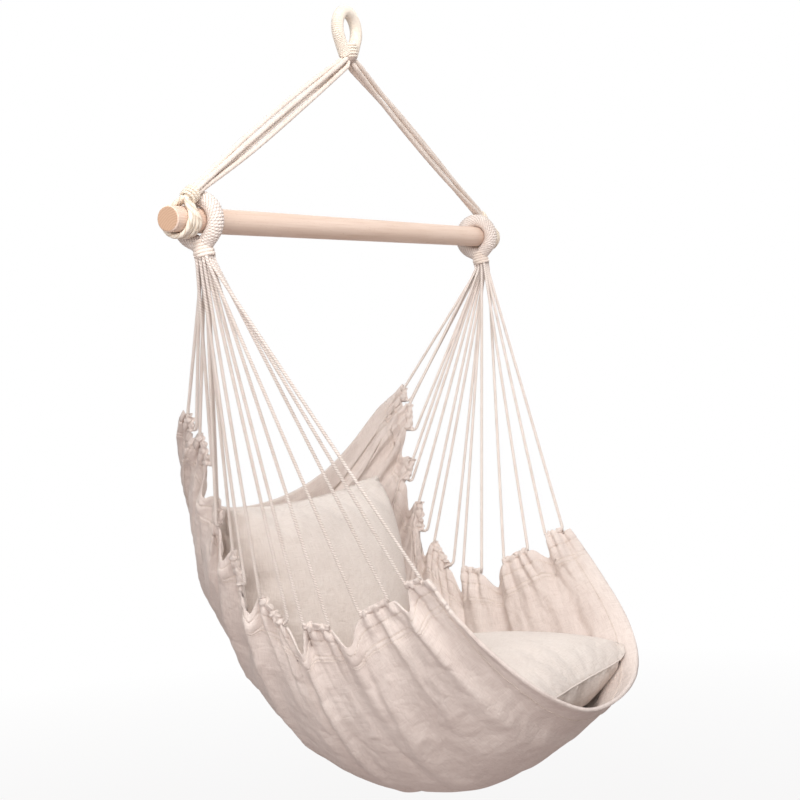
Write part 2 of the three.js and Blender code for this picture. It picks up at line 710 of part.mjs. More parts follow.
function canvasGeometry() {
  const half = canvasThickness / 2;
  let solid = toSolid(shell(layer(surface.folded, surface.foldedNormals, half),
    layer(surface.folded, surface.foldedNormals, -half)));
  for (const side of [-1, 1]) {
    cordRoutes.forEach(({ casing: route }) => {
      solid = solid.add(toSolid(casing(side, route, casingApothem, -restGap)));
    });
    cordRoutes.forEach(({ points }) => {
      const sided = points.map((point) => onSide(point, side));
      solid = solid.subtract(toSolid(tube(sided, 2 * boreApothem * flatToCorner, casingSides)));
    });
  }
  return toGeometry(solid);
}
addMesh(barFrame, 'seat_canvas', canvasGeometry(), canvas);

// Cushions: crowned both sides, the sides drawn in between the corners

function pillow(width, length, crown, growth) {
  const count = cushionCells + 1;
  const top = [];
  const bottom = [];
  const drawn = (share) => 1 - cushionDrawShare * (1 - share * share);
  for (let i = 0; i < count; i += 1) {
    for (let k = 0; k < count; k += 1) {
      const p = Math.sin(Math.PI / 2 * (2 * i / cushionCells - 1));
      const q = Math.sin(Math.PI / 2 * (2 * k / cushionCells - 1));
      const swell = (Math.max((1 - p * p) * (1 - q * q), 0)) ** cushionSwellPower;
      const x = p * (width / 2 + growth) * drawn(q);
      const y = q * (length / 2 + growth) * drawn(p);
      top.push(vec(x, y, swell * (crown + growth)));
      bottom.push(vec(x, y, -swell * (crown + growth)));
    }
  }
  const index = [];
  const offset = top.length;
  for (let i = 0; i < cushionCells; i += 1) {
    for (let k = 0; k < cushionCells; k += 1) {
      const a = i * count + k;
      const [b, c, d] = [a + count, a + 1, a + count + 1];
      const rising = (i < cushionCells / 2) === (k < cushionCells / 2);
      const faces = rising ? [a, b, d, a, d, c] : [a, b, c, b, d, c];
      index.push(...faces);
      const underFaces = rising ? [a, d, b, a, c, d] : [a, c, b, b, c, d];
      index.push(...underFaces.map((corner) => corner + offset));
    }
  }
  const geometry = new THREE.BufferGeometry().setFromPoints([...top, ...bottom]);
  geometry.setIndex(index);
  return geometry;
}

const liftDirection = (degrees) => vec(0, -1, 0).applyAxisAngle(barAxis, -THREE.MathUtils.degToRad(degrees));
const seatCushionLift = liftDirection(seatCushionLiftDegrees);
const backCushionLift = liftDirection(backCushionLiftDegrees);
const seatCushionTilt = THREE.MathUtils.degToRad(seatCushionTiltDegrees);
const backCushionTilt = THREE.MathUtils.degToRad(backCushionTiltDegrees);

function seatCushionSolid(growth) {
  return toSolid(pillow(seatCushionWidth, seatCushionLength, seatCushionCrown, growth)
    .translate(0, seatCushionLength / 2, 0).rotateX(-seatCushionTilt)
    .translate(0, -seatCushionFront, -seatCushionFrontDrop));
}

function backCushionSolid(growth) {
  return toSolid(pillow(backCushionWidth, backCushionHeight, backCushionCrown, growth)
    .translate(0, -backCushionHeight / 2, 0).rotateX(Math.PI / 2 - backCushionTilt)
    .translate(0, backCushionRear, -backCushionTop));
}

// What the canvas takes up, with its rest gap inside and all that lies beyond it outside
function canvasClearing(gap) {
  const inner = layer(surface.folded, surface.foldedNormals, canvasThickness / 2 + gap);
  const beyond = layer(surface.plain, surface.plainNormals, -seatCushionCrown / 2);
  return toSolid(shell(inner, beyond));
}
const clearing = canvasClearing(restGap);
const backCushion = largestPart(backCushionSolid(0).subtract(clearing));
addMesh(barFrame, 'back_cushion', toGeometry(backCushion), cushionCloth);

// The seat cushion is trimmed so that each cushion comes out by itself without a clash
function seatCushionGeometry() {
  let solid = seatCushionSolid(0).subtract(clearing).subtract(backCushionSolid(restGap));
  const wide = canvasClearing(liftGap);
  const backAll = backCushionSolid(liftGap);
  liftSteps.forEach((step) => {
    const seatLift = seatCushionLift.clone().multiplyScalar(-step).toArray();
    const backLift = backCushionLift.clone().multiplyScalar(step).toArray();
    solid = solid.subtract(wide.translate(seatLift));
    solid = solid.subtract(backAll.translate(seatLift));
    solid = solid.subtract(backAll.translate(backLift));
  });
  return toGeometry(largestPart(solid));
}
addMesh(barFrame, 'seat_cushion', seatCushionGeometry(), cushionCloth);

export default chair;
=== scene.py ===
"""The looks of a hammock chair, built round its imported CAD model.

Metres, in the row frame: +X along the bar, the sitter faces -Y, +Z up, origin at the eye's bearing point.
The first sizes and shares repeat those of the CAD source, so that each piece lies on its node.
"""

import math

import bpy
import numpy as np
from mathutils import Matrix, Vector
from mathutils.bvhtree import BVHTree


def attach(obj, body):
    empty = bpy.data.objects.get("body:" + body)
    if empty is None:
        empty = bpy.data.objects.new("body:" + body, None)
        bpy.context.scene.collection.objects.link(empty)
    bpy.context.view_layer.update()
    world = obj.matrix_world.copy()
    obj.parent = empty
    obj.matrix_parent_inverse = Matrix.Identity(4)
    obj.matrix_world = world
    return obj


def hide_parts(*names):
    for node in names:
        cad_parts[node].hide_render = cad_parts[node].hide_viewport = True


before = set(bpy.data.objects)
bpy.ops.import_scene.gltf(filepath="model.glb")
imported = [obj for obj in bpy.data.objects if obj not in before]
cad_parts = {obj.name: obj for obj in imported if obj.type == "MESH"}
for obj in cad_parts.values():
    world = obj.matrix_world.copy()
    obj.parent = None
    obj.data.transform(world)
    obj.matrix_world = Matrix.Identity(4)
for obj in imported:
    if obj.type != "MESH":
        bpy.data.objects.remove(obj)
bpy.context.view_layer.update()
sides = (("left", -1), ("right", 1))

# Spreader bar
bar_length = 1.0
bar_diameter = 0.035
bar_drop = 0.333
bar_clearance = 0.00045
rest_gap = 0.0003

# Hanging eye
eye_rope_diameter = 0.020
eye_width = 0.058
eye_cord_diameter = 0.0042
knob_diameter = 0.028
knob_drop = 0.059
knob_collar_height = 0.005

# Harness
strand_diameter = 0.0064
strand_spacing = 0.0068
harness_inset = 0.031
harness_neck_start = 0.027
harness_neck_height = 0.021
harness_neck_tilt = math.radians(50)
harness_neck_diameter = 0.022
harness_roll = {"left": math.radians(20), "right": math.radians(-3)}
harness_leg_spread = 0.0036
harness_cord_diameter = 0.0042
strand_drop_share = 1.1
strand_low_share = 0.6
strand_thickness_share = 1 / 3
strand_lead_share = 1.2
strand_middle_shares = (0.3, 0.7)

# Side rings
ring_inset = 0.068
ring_rope_diameter = 0.020
ring_cord_diameter = 0.0048
ring_leg_spread = 0.0055
ring_neck_start = 0.032
ring_neck_height = 0.018
ring_lean = math.radians(9)

# Suspension cords
cord_diameter = 0.005
cord_spacing = 0.0057
cord_lead = 0.008
cord_bend_radius = 0.006
cord_bend_width = 0.0132
cord_sharp_turn = math.radians(108)
leg_rows = (1, 2, 0, 3, 0, 1, 2, 3, 3, 2, 1, 0, 3, 0, 1, 2)
legs_per_row = 4

# Canvas
seat_half_width = 0.330
seat_depth = 0.639
seat_rear = 0.247
seat_drop = 0.886
canvas_thickness = 0.002
casing_wall = 0.0017
notch_depth = 0.040
hem_corner_reach = 0.009
fold_height = 0.009
fold_spacing = 0.040
front_bulge = 0.010
rear_rise = 0.026
edge_fade_power = 6
hem_shares = (
    (1, 0.213, 0.301), (0.988, 0.224, 0.327), (0.976, 0.234, 0.334), (0.945, 0.246, 0.386),
    (0.921, 0.251, 0.443), (0.903, 0.240, 0.487), (0.885, 0.272, 0.529), (0.864, 0.288, 0.587),
    (0.842, 0.324, 0.609), (0.812, 0.380, 0.651), (0.794, 0.421, 0.659), (0.77, 0.483, 0.661),
    (0.745, 0.557, 0.639), (0.739, 0.630, 0.614), (0.752, 0.680, 0.589), (0.776, 0.725, 0.576),
)
centre_shares = (
    (0.039, 0.494), (0.000, 0.628), (0.043, 0.759), (0.194, 0.914),
    (0.363, 0.991), (0.609, 0.996), (0.813, 0.935), (1.000, 0.822),
)
section_power_shares = (2.0, -1.5, 1.8)
notch_shares = (0.22, 0.7, 0.75, 0.85, 1.0, 0.8, 0.7)

# Cushions: the drops are below the bar
cushions = {
    "seat_cushion": {"width": 0.425, "length": 0.520, "crown": 0.087, "pivot": 1,
                     "tilt": math.radians(-9), "place": (0, -0.362, -0.700)},
    "back_cushion": {"width": 0.460, "length": 0.400, "crown": 0.118, "pivot": -1,
                     "tilt": math.radians(89), "place": (0, 0.122, -0.416)},
}
cushion_draw_share = 0.07
cushion_swell_power = 0.42

# What only shows in the looks: cords and windings, whose fullness is against the plain round cord
cord_pitch = 0.013  # one turn of the lay
cord_fullness = 1.1
cord_buried = 0.010  # in the neck of its ring
groove_depth_share = 0.36  # of the grooves between the plies of a hard-laid cord
ply_count = 3
turn_steps = 20  # points in one turn of a winding
neck_points = 40
winding_pitch_share = 0.72  # of a whipping's turns, in diameters of its cord
winding_lay = 0.0125
winding_tuck = 0.8  # how far a winding's end dives in, in diameters of its cord
eye_pitch_share = 0.62
knob_winding_girth = 0.0315
knob_winding_reach = (0.017, 0.0095)  # above and below the knob's middle
knob_shoulder = 0.45
knob_rounding = 0.62
strand_pitch = 0.060
strand_fullness = 1.2
strand_groove = 0.05
strand_buried = (0.008, 0.006)  # in the harness's neck and in the knob
loop_pitch = 0.042
loop_spread_share = 1.19
loop_neck_share = 0.35  # of that spread, where the loops enter their neck
loop_ease_points = 12
loop_fullness = 1.13
loop_slack = 0.0012
soft_groove = 0.10
harness_neck_belly = 0.002
ring_fullness = 1.13
ring_neck_reach = 0.006  # of its winding, above the neck
ring_neck_girths = (0.024, 0.027)

# Canvas: seams, pleats and folds
hem_band = 0.054  # from the hem's edge to its lower stitched edge, at the cords
band_shares = (0, 0.03, 0.08, 0.15, 0.23, 0.31, 0.39, 0.44, 0.52, 0.6, 0.68, 0.76, 0.84, 0.9, 0.94, 0.965,
               0.985, 1.0, 1.02, 1.05, 1.1)
stitch_rows = (0.019, 0.044, 0.0515)  # from the hem's edge
band_follows_notch = 0.35  # share of a notch's depth by which the band's lower edge dips too
seam_pinch = 0.62  # share of the thickness that a row of stitches pulls in
seam_width = 0.0010
seam_offsets = (-0.0022, -0.0011, 0, 0.0011, 0.0022)
seam_clearance = 0.0007  # least distance from a seam's rows to the next row of the grid
front_hem = 0.021
rear_hem = 0.048
hem_layers = 1.7  # thickness of a doubled hem, in thicknesses of the canvas
rolled_layers = 3.0
roll_width = 0.007
edge_rounding = 0.004
cloth_cell = 0.0036
field_rows = 96  # of the cloth between one hem band and the centre
section_points = 240
gather_cell = 0.0015  # of the cloth along a cord, where it is pleated
pleat_height = (0.0022, 0.0054)
pleat_spacing = (0.0065, 0.0125)
pleat_length = (0.020, 0.095)
pleat_spread = 0.11  # depth at which the pleats are twice as far apart as at the cord
pleat_sway = 0.0016
pleat_fade = 0.003  # beyond the ends of a cord's run
notch_fold_height = (0.0060, 0.0105)
notch_fold_width = 0.0058
notch_fold_length = (0.10, 0.24)
notch_fold_place = (0.35, 0.65)  # share of the way between two cords
notch_fold_drift = (-0.15, 0.2)
notch_fold_start = 0.6  # in depths of the hem's band
notch_ripple = 0.0024
notch_ripple_spacing = 0.010
notch_ripple_depth = 0.025
notch_lean = 0.3
notch_power = 2.2  # above 1, the notch is a slit between high shoulders
tension_height = 0.0078
tension_width = 0.0080
tension_length = (0.10, 0.36)
tension_widths = (0.6, 1.3)  # in shares of tension_width
tension_heights = (0.25, 1.0)  # and of tension_height
tension_drift = (-0.14, 0.14)  # along the hem, for each metre down
tension_bow = (-0.3, 0.3)
tension_widening = 0.16  # depth at which such a fold is twice as wide
fold_steepness = 0.36  # width of a fold's steep side, against that of an even fold
fold_start = 0.03  # depth at which a long fold has its full height
fold_fade = ((0, 0.03, 0.12, 0.45), (0.3, 1, 0.55, 0))  # depths, and the share of the gathers left there
calm_shares = ((0, 0.45, 1), (1, 1, 0.1))  # the same for the folds, in shares of the whole depth
firm_shares = ((0, 1, 2.2), (0.35, 0.6, 1))  # and in widths of the front hem from either end
crease_height = 0.0015
crease_width = 0.0028
crease_length = (0.008, 0.030)
crease_count = 760
crease_widths = (0.7, 1.6)  # in shares of crease_width
crease_bow = (-6, 6)
crease_crowding = 1.5  # above 1, there are more of them near the hems
crease_growth = (0.2, 0.25, 0.9)  # depths at which their length, width and height are twice as large
rear_tuck = 0.006
rear_tuck_reach = 0.016
rear_tuck_start = 0.002
wrinkle_cap = 0.0019
cloth_excess = 0.028
cloth_frames = 30
wrinkle_passes = 40  # of smoothing, for what is no wrinkle
frill_height = (0.0025, 0.0075)
frill_lean_share = 0.6
frill_steps = ((0.95, 0.25, 0.15), (0.9, 0.7, 0.6), (0.55, 1, 1))  # their width, lean and height
flank_angles = (math.radians(48), math.radians(148))
casing_step = 0.0010
casing_overlap = 0.004
casing_girth = 0.03
mouth_recess = 0.004
tunnel_puff = 0.0036
stitch_length = 0.0042
stitch_gap = 0.0016
seam_margins = (0.004, 0.003)  # from the edges, and from the front hem's edge
thread_diameter = 0.0011

# Cushions: how they are filled and fitted
cushion_cells = 56
cushion_frames = 22
cushion_pressure = 2.2
cushion_growth = 0.05
bulge_passes = 60  # of smoothing, which part a cushion's broad shape from its wrinkles
fine_cap = 0.007
broad_cap = 0.006
cushion_gap = 0.0022
cushions_apart = 0.0012
cushion_search = 0.03
proud_passes = (30, 8, 2)
proud_limits = (0.0025, 0.003)  # outside the solid, while fitting and at the end
seam_bead = 0.0026

cloth_settings = {
    "quality": 6, "mass": 0.35, "tension_stiffness": 18, "compression_stiffness": 14, "shear_stiffness": 6,
    "bending_stiffness": 0.35, "air_damping": 4, "pin_stiffness": 1.0, "vertex_group_mass": "pins",
}

# Camera and studio
camera_sensor = 36.0
camera_lens = 71.42
camera_angles = (-61.43, 2.52, -3.16)  # yaw, pitch and roll in degrees
camera_place = (-2.19217, -1.25252, -0.16215)  # from the bar's middle
camera_clip = (0.05, 60)
world_strength = 0.41
floor_height = -1.62
floor_reach = 9.0
floor_colour = (0.40, 0.34, 0.33, 1)
floor_fade = {"From Min": 1.7, "From Max": 3.4, "To Min": 0.86}
lamps = (  # name, place, aim, size, power
    ("key", (-1.5, -1.5, 1.9), (0, -0.05, -0.75), 1.3, 54),
    ("front", (-2.5, -0.9, 0.1), (0.1, 0, -0.75), 1.6, 44),
    ("side", (2.2, -1.8, 0.6), (0, 0, -0.8), 2.2, 25),
    ("back", (0.8, 2.4, 1.4), (0, 0, -0.6), 2.0, 36),
)


# Vectors and lines

def vec(*values):
    return np.array(values, float)


def xyz(*parts):
    """Points from their coordinates, each an array or one number for all."""
    return np.stack(np.broadcast_arrays(*parts), axis=-1).astype(float)


def unit(v):
    return v / np.linalg.norm(v)


def units(vectors):
    return vectors / np.linalg.norm(vectors, axis=-1, keepdims=True)


def heading(start, end):
    return unit(end - start)


def angle_between(a, b):
    return math.acos(max(-1.0, min(1.0, float(np.dot(unit(a), unit(b))))))


def across(outgoing, incoming):
    """The part of one heading that is square to another."""
    return unit(outgoing - incoming * np.dot(incoming, outgoing))


def turn_about(axis, angle):
    return np.array(Matrix.Rotation(angle, 3, axis))


def mirrored(points, side):
    return points * vec(side, 1, 1)


def lengths_along(points):
    steps = np.linalg.norm(np.diff(points, axis=0), axis=1)
    return np.concatenate([[0.0], np.cumsum(steps)])


def at_lengths(points, places):
    """The points of a polyline at these distances along it."""
    run = lengths_along(points)
    return np.stack([np.interp(places, run, points[:, i]) for i in range(3)], axis=1)


def resampled(points, step):
    total = lengths_along(points)[-1]
    return at_lengths(points, np.linspace(0, total, max(2, int(round(total / step))) + 1))


def softened(points, passes):
    """Rounds the kinks of an evenly spaced line, with its ends kept."""
    line = points.copy()
    for _ in range(passes):
        line[1:-1] = 0.25 * line[:-2] + 0.5 * line[1:-1] + 0.25 * line[2:]
    return line


def centripetal(points, steps=24):
    """A centripetal Catmull-Rom line through the points."""
    p = [2 * points[0] - points[1], *points, 2 * points[-1] - points[-2]]
    out = []
    for i in range(1, len(p) - 2):
        a, b, c, d = p[i - 1:i + 3]
        t0, t1, t2 = (math.sqrt(np.linalg.norm(w - v)) for v, w in ((a, b), (b, c), (c, d)))
        m1 = ((b - a) / t0 - (c - a) / (t0 + t1) + (c - b) / t1) * t1
        m2 = ((c - b) / t1 - (d - b) / (t1 + t2) + (d - c) / t2) * t1
        for t in np.arange(steps) / steps:
            out.append(b + t * m1 + t * t * (3 * (c - b) - 2 * m1 - m2) + t ** 3 * (2 * (b - c) + m1 + m2))
    return np.array([*out, p[-2]])


# Meshes

def loop_uv(mesh, uv):
    """One UV pair for each face corner; a face that crosses the seam of a tube runs on past 1."""
    corner, starts, sizes = (np.zeros(count, np.int32) for count in (
        len(mesh.loops), len(mesh.polygons), len(mesh.polygons)))
    mesh.loops.foreach_get("vertex_index", corner)
    mesh.polygons.foreach_get("loop_start", starts)
    mesh.polygons.foreach_get("loop_total", sizes)
    pairs = uv[corner]
    low = np.minimum.reduceat(pairs[:, 1], starts)
    high = np.maximum.reduceat(pairs[:, 1], starts)
    crossing = np.repeat((high - low > 0.5) & (sizes == 4), sizes)
    pairs[:, 1] += np.where(crossing & (pairs[:, 1] < 0.5), 1, 0)
    return pairs


def smooth(mesh):
    mesh.polygons.foreach_set("use_smooth", [True] * len(mesh.polygons))


def mesh_object(name, points, faces, finish, uv=None):
    mesh = bpy.data.meshes.new(name)
    mesh.from_pydata(np.asarray(points, float).tolist(), [], [[int(i) for i in face] for face in faces])
    mesh.materials.append(finish)
    smooth(mesh)
    if uv is not None:
        layer = mesh.uv_layers.new(name="UVMap")
        layer.data.foreach_set("uv", loop_uv(mesh, np.asarray(uv, float)).astype(np.float32).ravel())
    mesh.update()
    piece = bpy.data.objects.new(name, mesh)
    bpy.context.scene.collection.objects.link(piece)
    return piece


def lay_on(piece, body, slot, *nodes):
    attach(piece, body)
    if nodes:
        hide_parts(*nodes)
    return piece


def search_tree(points, faces):
    return BVHTree.FromPolygons([Vector(v) for v in points], [tuple(map(int, face)) for face in faces])


def frames_along(points):
    """Two normals for each point of a line, carried along it without twist."""
    tangents = units(np.gradient(points, axis=0))
    aside = np.cross(tangents[0], vec(0, 0, 1))
    if np.linalg.norm(aside) < 0.1:
        aside = np.cross(tangents[0], vec(0, 1, 0))
    normals = [unit(aside)]
    for tangent in tangents:
        normals.append(across(normals[-1], tangent))
    normals = np.array(normals[1:])
    return normals, np.cross(tangents, normals)


def ring_faces(rings, corners):
    """The faces of a closed tube of rings, with a cap at each end."""
    base = np.arange((rings - 1) * corners).reshape(rings - 1, corners)
    following = np.roll(base, -1, axis=1)
    sleeve = np.stack([base, following, following + corners, base + corners], axis=2)
    end = np.arange(corners)
    return [*sleeve.reshape(-1, 4).tolist(), end[::-1].tolist(), (end + (rings - 1) * corners).tolist()]


class Skin:
    """Tubes gathered into one mesh."""

    def __init__(self):
        self.verts, self.faces, self.uv, self.count = [], [], [], 0

    def add(self, verts, faces, uv):
        self.verts.append(verts)
        self.faces.extend([[i + self.count for i in face] for face in faces])
        self.uv.append(uv)
        self.count += len(verts)

    def sweep(self, points, radii, twist):
        """A tube with one radius for each corner of its section, turned by twist at each point."""
        aside, up = frames_along(points)
        shares = np.arange(len(radii)) / len(radii)
        turned = 2 * math.pi * shares[None, :] + twist[:, None]
        rings = points[:, None, :] + radii[None, :, None] * (
            np.cos(turned)[..., None] * aside[:, None, :] + np.sin(turned)[..., None] * up[:, None, :])
        uv = np.stack(np.meshgrid(lengths_along(points), shares, indexing="ij"), axis=2)
        self.add(rings.reshape(-1, 3), ring_faces(len(points), len(radii)), uv.reshape(-1, 2))

    def plain(self, points, diameter, corners=9):
        """A cord whose plies don't show."""
        self.sweep(points, np.full(corners, diameter / 2), np.zeros(len(points)))

    def twisted(self, points, diameter, pitch, step=None, passes=3, groove=groove_depth_share, corners=12):
        """Three plies laid round each other along a line."""
        line = softened(resampled(points, step or pitch / 8), passes)
        lobes = np.abs(np.sin(ply_count * math.pi * np.arange(corners) / corners)) ** 3
        self.sweep(line, diameter / 2 * (1 - groove * lobes), -2 * math.pi * lengths_along(line) / pitch)

    def make(self, name, finish, body, slot, *nodes):
        piece = mesh_object(name, np.concatenate(self.verts), self.faces, finish, np.concatenate(self.uv))
        return lay_on(piece, body, slot, *nodes)


def wound(points, girth, cord, pitch):
    """A helix round a line, with its own ends tucked in; girth is a width, or a function of the share."""
    run = lengths_along(points)[-1]
    steps = max(1, int(run / pitch)) * turn_steps
    line = at_lengths(points, np.linspace(0, run, steps + 1))
    aside, up = frames_along(softened(line, 2))
    at = np.arange(steps + 1)
    angle = 2 * math.pi * at / turn_steps
    width = girth(np.linspace(0, 1, steps + 1)) if callable(girth) else girth
    tuck = np.minimum(1, np.minimum(at, at[::-1]) / (0.3 * turn_steps))
    reach = (width - cord) / 2 - (1 - tuck) * cord * winding_tuck
    return line + reach[:, None] * (np.cos(angle)[:, None] * aside + np.sin(angle)[:, None] * up)


# Routes that repeat those of the CAD source

def loop_route(radius, neck_start, leg_spread, buried, steps=72):
    """A loop in the XZ plane about the origin, whose legs end in a neck below it."""
    lean = math.atan2(leg_spread, neck_start)
    tangent = lean + math.acos(radius / math.hypot(leg_spread, neck_start))
    angles = np.linspace(tangent, 2 * math.pi - tangent, steps + 1)
    arc = xyz(-radius * np.sin(angles), 0, -radius * np.cos(angles))
    legs = [vec(side * leg_spread, 0, -neck_start) for _, side in sides]
    low = vec(0, 0, buried)
    return np.array([legs[0] - low, legs[0], *arc, legs[1], legs[1] - low])


def bend(corner, incoming, outgoing, steps=10):
    turn = angle_between(incoming, outgoing)
    inward = across(outgoing, incoming) * cord_bend_radius
    start = corner - incoming * cord_bend_radius * math.tan(turn / 2)
    return [start + inward * (1 - math.cos(a)) + incoming * cord_bend_radius * math.sin(a)
            for a in np.linspace(0, turn, steps + 1)]


def seat_point(sideways, forward, down):
    return vec(sideways * seat_half_width, seat_rear - forward * seat_depth, -bar_drop - down * seat_drop)


hem_points = [seat_point(*share) for share in hem_shares]
centre_line = centripetal([seat_point(0, *share) for share in centre_shares])
ring_place = bar_length / 2 - ring_inset
lean_turn = turn_about("X", -ring_lean)
neck_down = lean_turn @ vec(0, 0, -1)


def leg_start(leg):
    column, middle = leg // legs_per_row, (legs_per_row - 1) / 2
    local = vec((leg_rows[leg] - middle) * cord_spacing, (middle - column) * cord_spacing,
                -ring_neck_start - ring_neck_height - rest_gap)
    return lean_turn @ local + vec(ring_place, 0, -bar_drop)


def turn_back(corner, incoming, outgoing):
    """The corner of a cord, split in two where it turns back sharply."""
    if angle_between(incoming, outgoing) < cord_sharp_turn:
        return [corner]
    aside = across(outgoing, incoming)
    return [corner - aside * cord_bend_width / 2, corner + aside * cord_bend_width / 2]


def cord_route(pair):
    """Down one leg, through the hem and up the next leg, on the +X side."""
    first, second = hem_points[2 * pair:2 * pair + 2]
    starts = [leg_start(2 * pair), leg_start(2 * pair + 1)]
    leads = [start + neck_down * cord_lead for start in starts]
    run = heading(first, second)
    entering = turn_back(first, heading(leads[0], first), run)
    leaving = turn_back(second, run, heading(second, leads[1]))
    corners = [leads[0], *entering, *leaving, leads[1]]
    points = [starts[0] - neck_down * cord_buried, starts[0], leads[0]]
    for before, corner, after in zip(corners, corners[1:], corners[2:]):
        points += bend(corner, heading(before, corner), heading(corner, after))
    points += [leads[1], starts[1], starts[1] - neck_down * cord_buried]
    return np.array(points), (entering[-1], leaving[0])


pair_count = len(hem_points) // 2
cord_routes = [cord_route(pair) for pair in range(pair_count)]


# Materials

def colour(hexa):
    """An sRGB colour as the linear one that a shader takes."""
    parts = [int(hexa[i:i + 2], 16) / 255 for i in (0, 2, 4)]
    return (*(c / 12.92 if c <= 0.04045 else ((c + 0.055) / 1.055) ** 2.4 for c in parts), 1.0)


class Graph:
    """A node tree: each call adds a node and gives back one of its outputs."""

    def __init__(self, owner):
        owner.use_nodes = True
        self.nodes, self.links = owner.node_tree.nodes, owner.node_tree.links

    def feed(self, node, inputs):
        for name, value in inputs.items():
            if isinstance(value, bpy.types.NodeSocket):
                self.links.new(value, node.inputs[name])
            else:
                node.inputs[name].default_value = value

    def add(self, kind, inputs, out=0, **settings):
        node = self.nodes.new("ShaderNode" + kind)
        for name, value in settings.items():
            setattr(node, name, value)
        self.feed(node, inputs)
        return node.outputs[out]

    def math(self, operation, first, second=0.0):
        return self.add("Math", {0: first, 1: second}, operation=operation)

    def scaled(self, source, scale, turn=(0, 0, 0)):
        return self.add("Mapping", {"Vector": source, "Scale": scale, "Rotation": turn})

    def noise(self, source, scale, detail, roughness=0.6):
        settings = {"Vector": source, "Scale": scale, "Detail": detail, "Roughness": roughness}
        return self.add("TexNoise", settings, "Fac")

    def ramp(self, source, low, high, start, end):
        """From one colour to another, as the source goes from start to end."""
        node = self.nodes.new("ShaderNodeValToRGB")
        for element, tone, place in zip(node.color_ramp.elements, (low, high), (start, end)):
            element.position, element.color = place, colour(tone)
        self.feed(node, {"Fac": source})
        return node.outputs["Color"]

    def mixed(self, kind, share, first, second):
        return self.add("Mix", {0: share, 6: first, 7: second}, 2, data_type="RGBA", blend_type=kind)

    def split(self, source):
        node = self.nodes.new("ShaderNodeSeparateXYZ")
        self.feed(node, {0: source})
        return node.outputs

    def weave(self, uv, threads):
        """Plain weave: over and under, as the height of two sets of threads."""
        places = self.split(self.scaled(uv, (threads, threads, 1)))
        waves = [self.math("SINE", self.math("MULTIPLY", places[axis], 2 * math.pi)) for axis in (0, 1)]
        return self.math("ADD", self.math("MULTIPLY", self.math("MULTIPLY", *waves), 0.5), 0.5)

    def ridged(self, source, scale, detail):
        """Noise folded about its middle: sharp creases between soft swells."""
        centred = self.math("SUBTRACT", self.noise(source, scale, detail, 0.5), 0.5)
        return self.math("POWER", self.math("ABSOLUTE", centred), 0.7)


class Surface(Graph):
    """A matt material, with the places of its points on the object and in the cloth or cord."""

    def __init__(self, name, roughness, sheen=0.0):
        self.material = bpy.data.materials.new(name)
        super().__init__(self.material)
        self.main = self.nodes["Principled BSDF"]
        self.feed(self.main, {"Roughness": roughness, "Specular IOR Level": 0.25, "Sheen Weight": sheen,
                              "Sheen Roughness": 0.6})
        found = self.nodes.new("ShaderNodeTexCoord").outputs
        self.place, self.uv = found["Object"], found["UV"]

    def finish(self, base, *bumps):
        """The colour, and the bumps laid over each other: height, distance and strength of each."""
        self.feed(self.main, {"Base Color": base})
        under = {}
        for height, distance, strength in bumps:
            normal = self.add("Bump", {"Height": height, "Distance": distance, "Strength": strength, **under})
            under = {"Normal": normal}
        self.feed(self.main, under)
        return self.material


def cloth_material(name, light, dark, slub):
    """Unbleached cotton canvas: a plain weave with slubs, soft creases and a faint mottling."""
    cloth = Surface(name, 0.92, 0.12)
    mottled = cloth.ramp(cloth.noise(cloth.place, 6.0, 5.0, 0.62), dark, light, 0.3, 0.62)
    warp, weft = (cloth.math("MULTIPLY", cloth.noise(cloth.scaled(cloth.uv, scale), 1.0, 2.0), 0.5)
                  for scale in ((1500, 60, 1), (60, 1500, 1)))
    threads = cloth.math("ADD", warp, weft)
    base = cloth.mixed("MULTIPLY", 0.3, mottled, cloth.ramp(threads, slub, "ffffff", 0.38, 0.54))
    return cloth.finish(base, (cloth.ridged(cloth.place, 13.0, 4.0), 0.008, 0.5),
                        (cloth.ridged(cloth.place, 41.0, 3.0), 0.0032, 0.6), (threads, 0.0005, 0.5),
                        (cloth.weave(cloth.uv, 900.0), 0.0002, 0.4))


def cord_material(name, light, dark, ply_shade_tone=None):
    """Cotton cord: fine yarns along it and, where it is laid, plies with painted shade in the hollows between
    them.
    """
    cord = Surface(name, 0.9, 0.15)
    lay = cord.scaled(cord.uv, (260, 22, 1), (0, 0, 0.5)) if ply_shade_tone else cord.scaled(cord.uv, (9, 12, 1))
    yarns = cord.noise(lay, 1.0, 3.0)
    mottled = cord.ramp(cord.noise(cord.place, 40.0, 4.0), dark, light, 0.3, 0.6)
    base = cord.mixed("MULTIPLY", 0.25, mottled, cord.ramp(yarns, "e9e0d8", "ffffff", 0.35, 0.6))
    if ply_shade_tone:
        # Painted shade: where the cord is laid, stripes round it by its plies are darkened to the third colour,
        # which stands in for the shade between the plies.
        lobes = cord.math("SINE", cord.math("MULTIPLY", cord.split(cord.uv)[1], ply_count * math.pi))
        painted_ply_shade = cord.ramp(cord.math("ABSOLUTE", lobes), ply_shade_tone, "ffffff", 0.05, 0.6)
        base = cord.mixed("MULTIPLY", 0.7, base, painted_ply_shade)
    return cord.finish(base, (yarns, 0.0003, 0.4 if ply_shade_tone else 0.2),
                       (cord.noise(cord.place, 1500.0, 2.0), 0.0001, 0.2 if ply_shade_tone else 0.08))


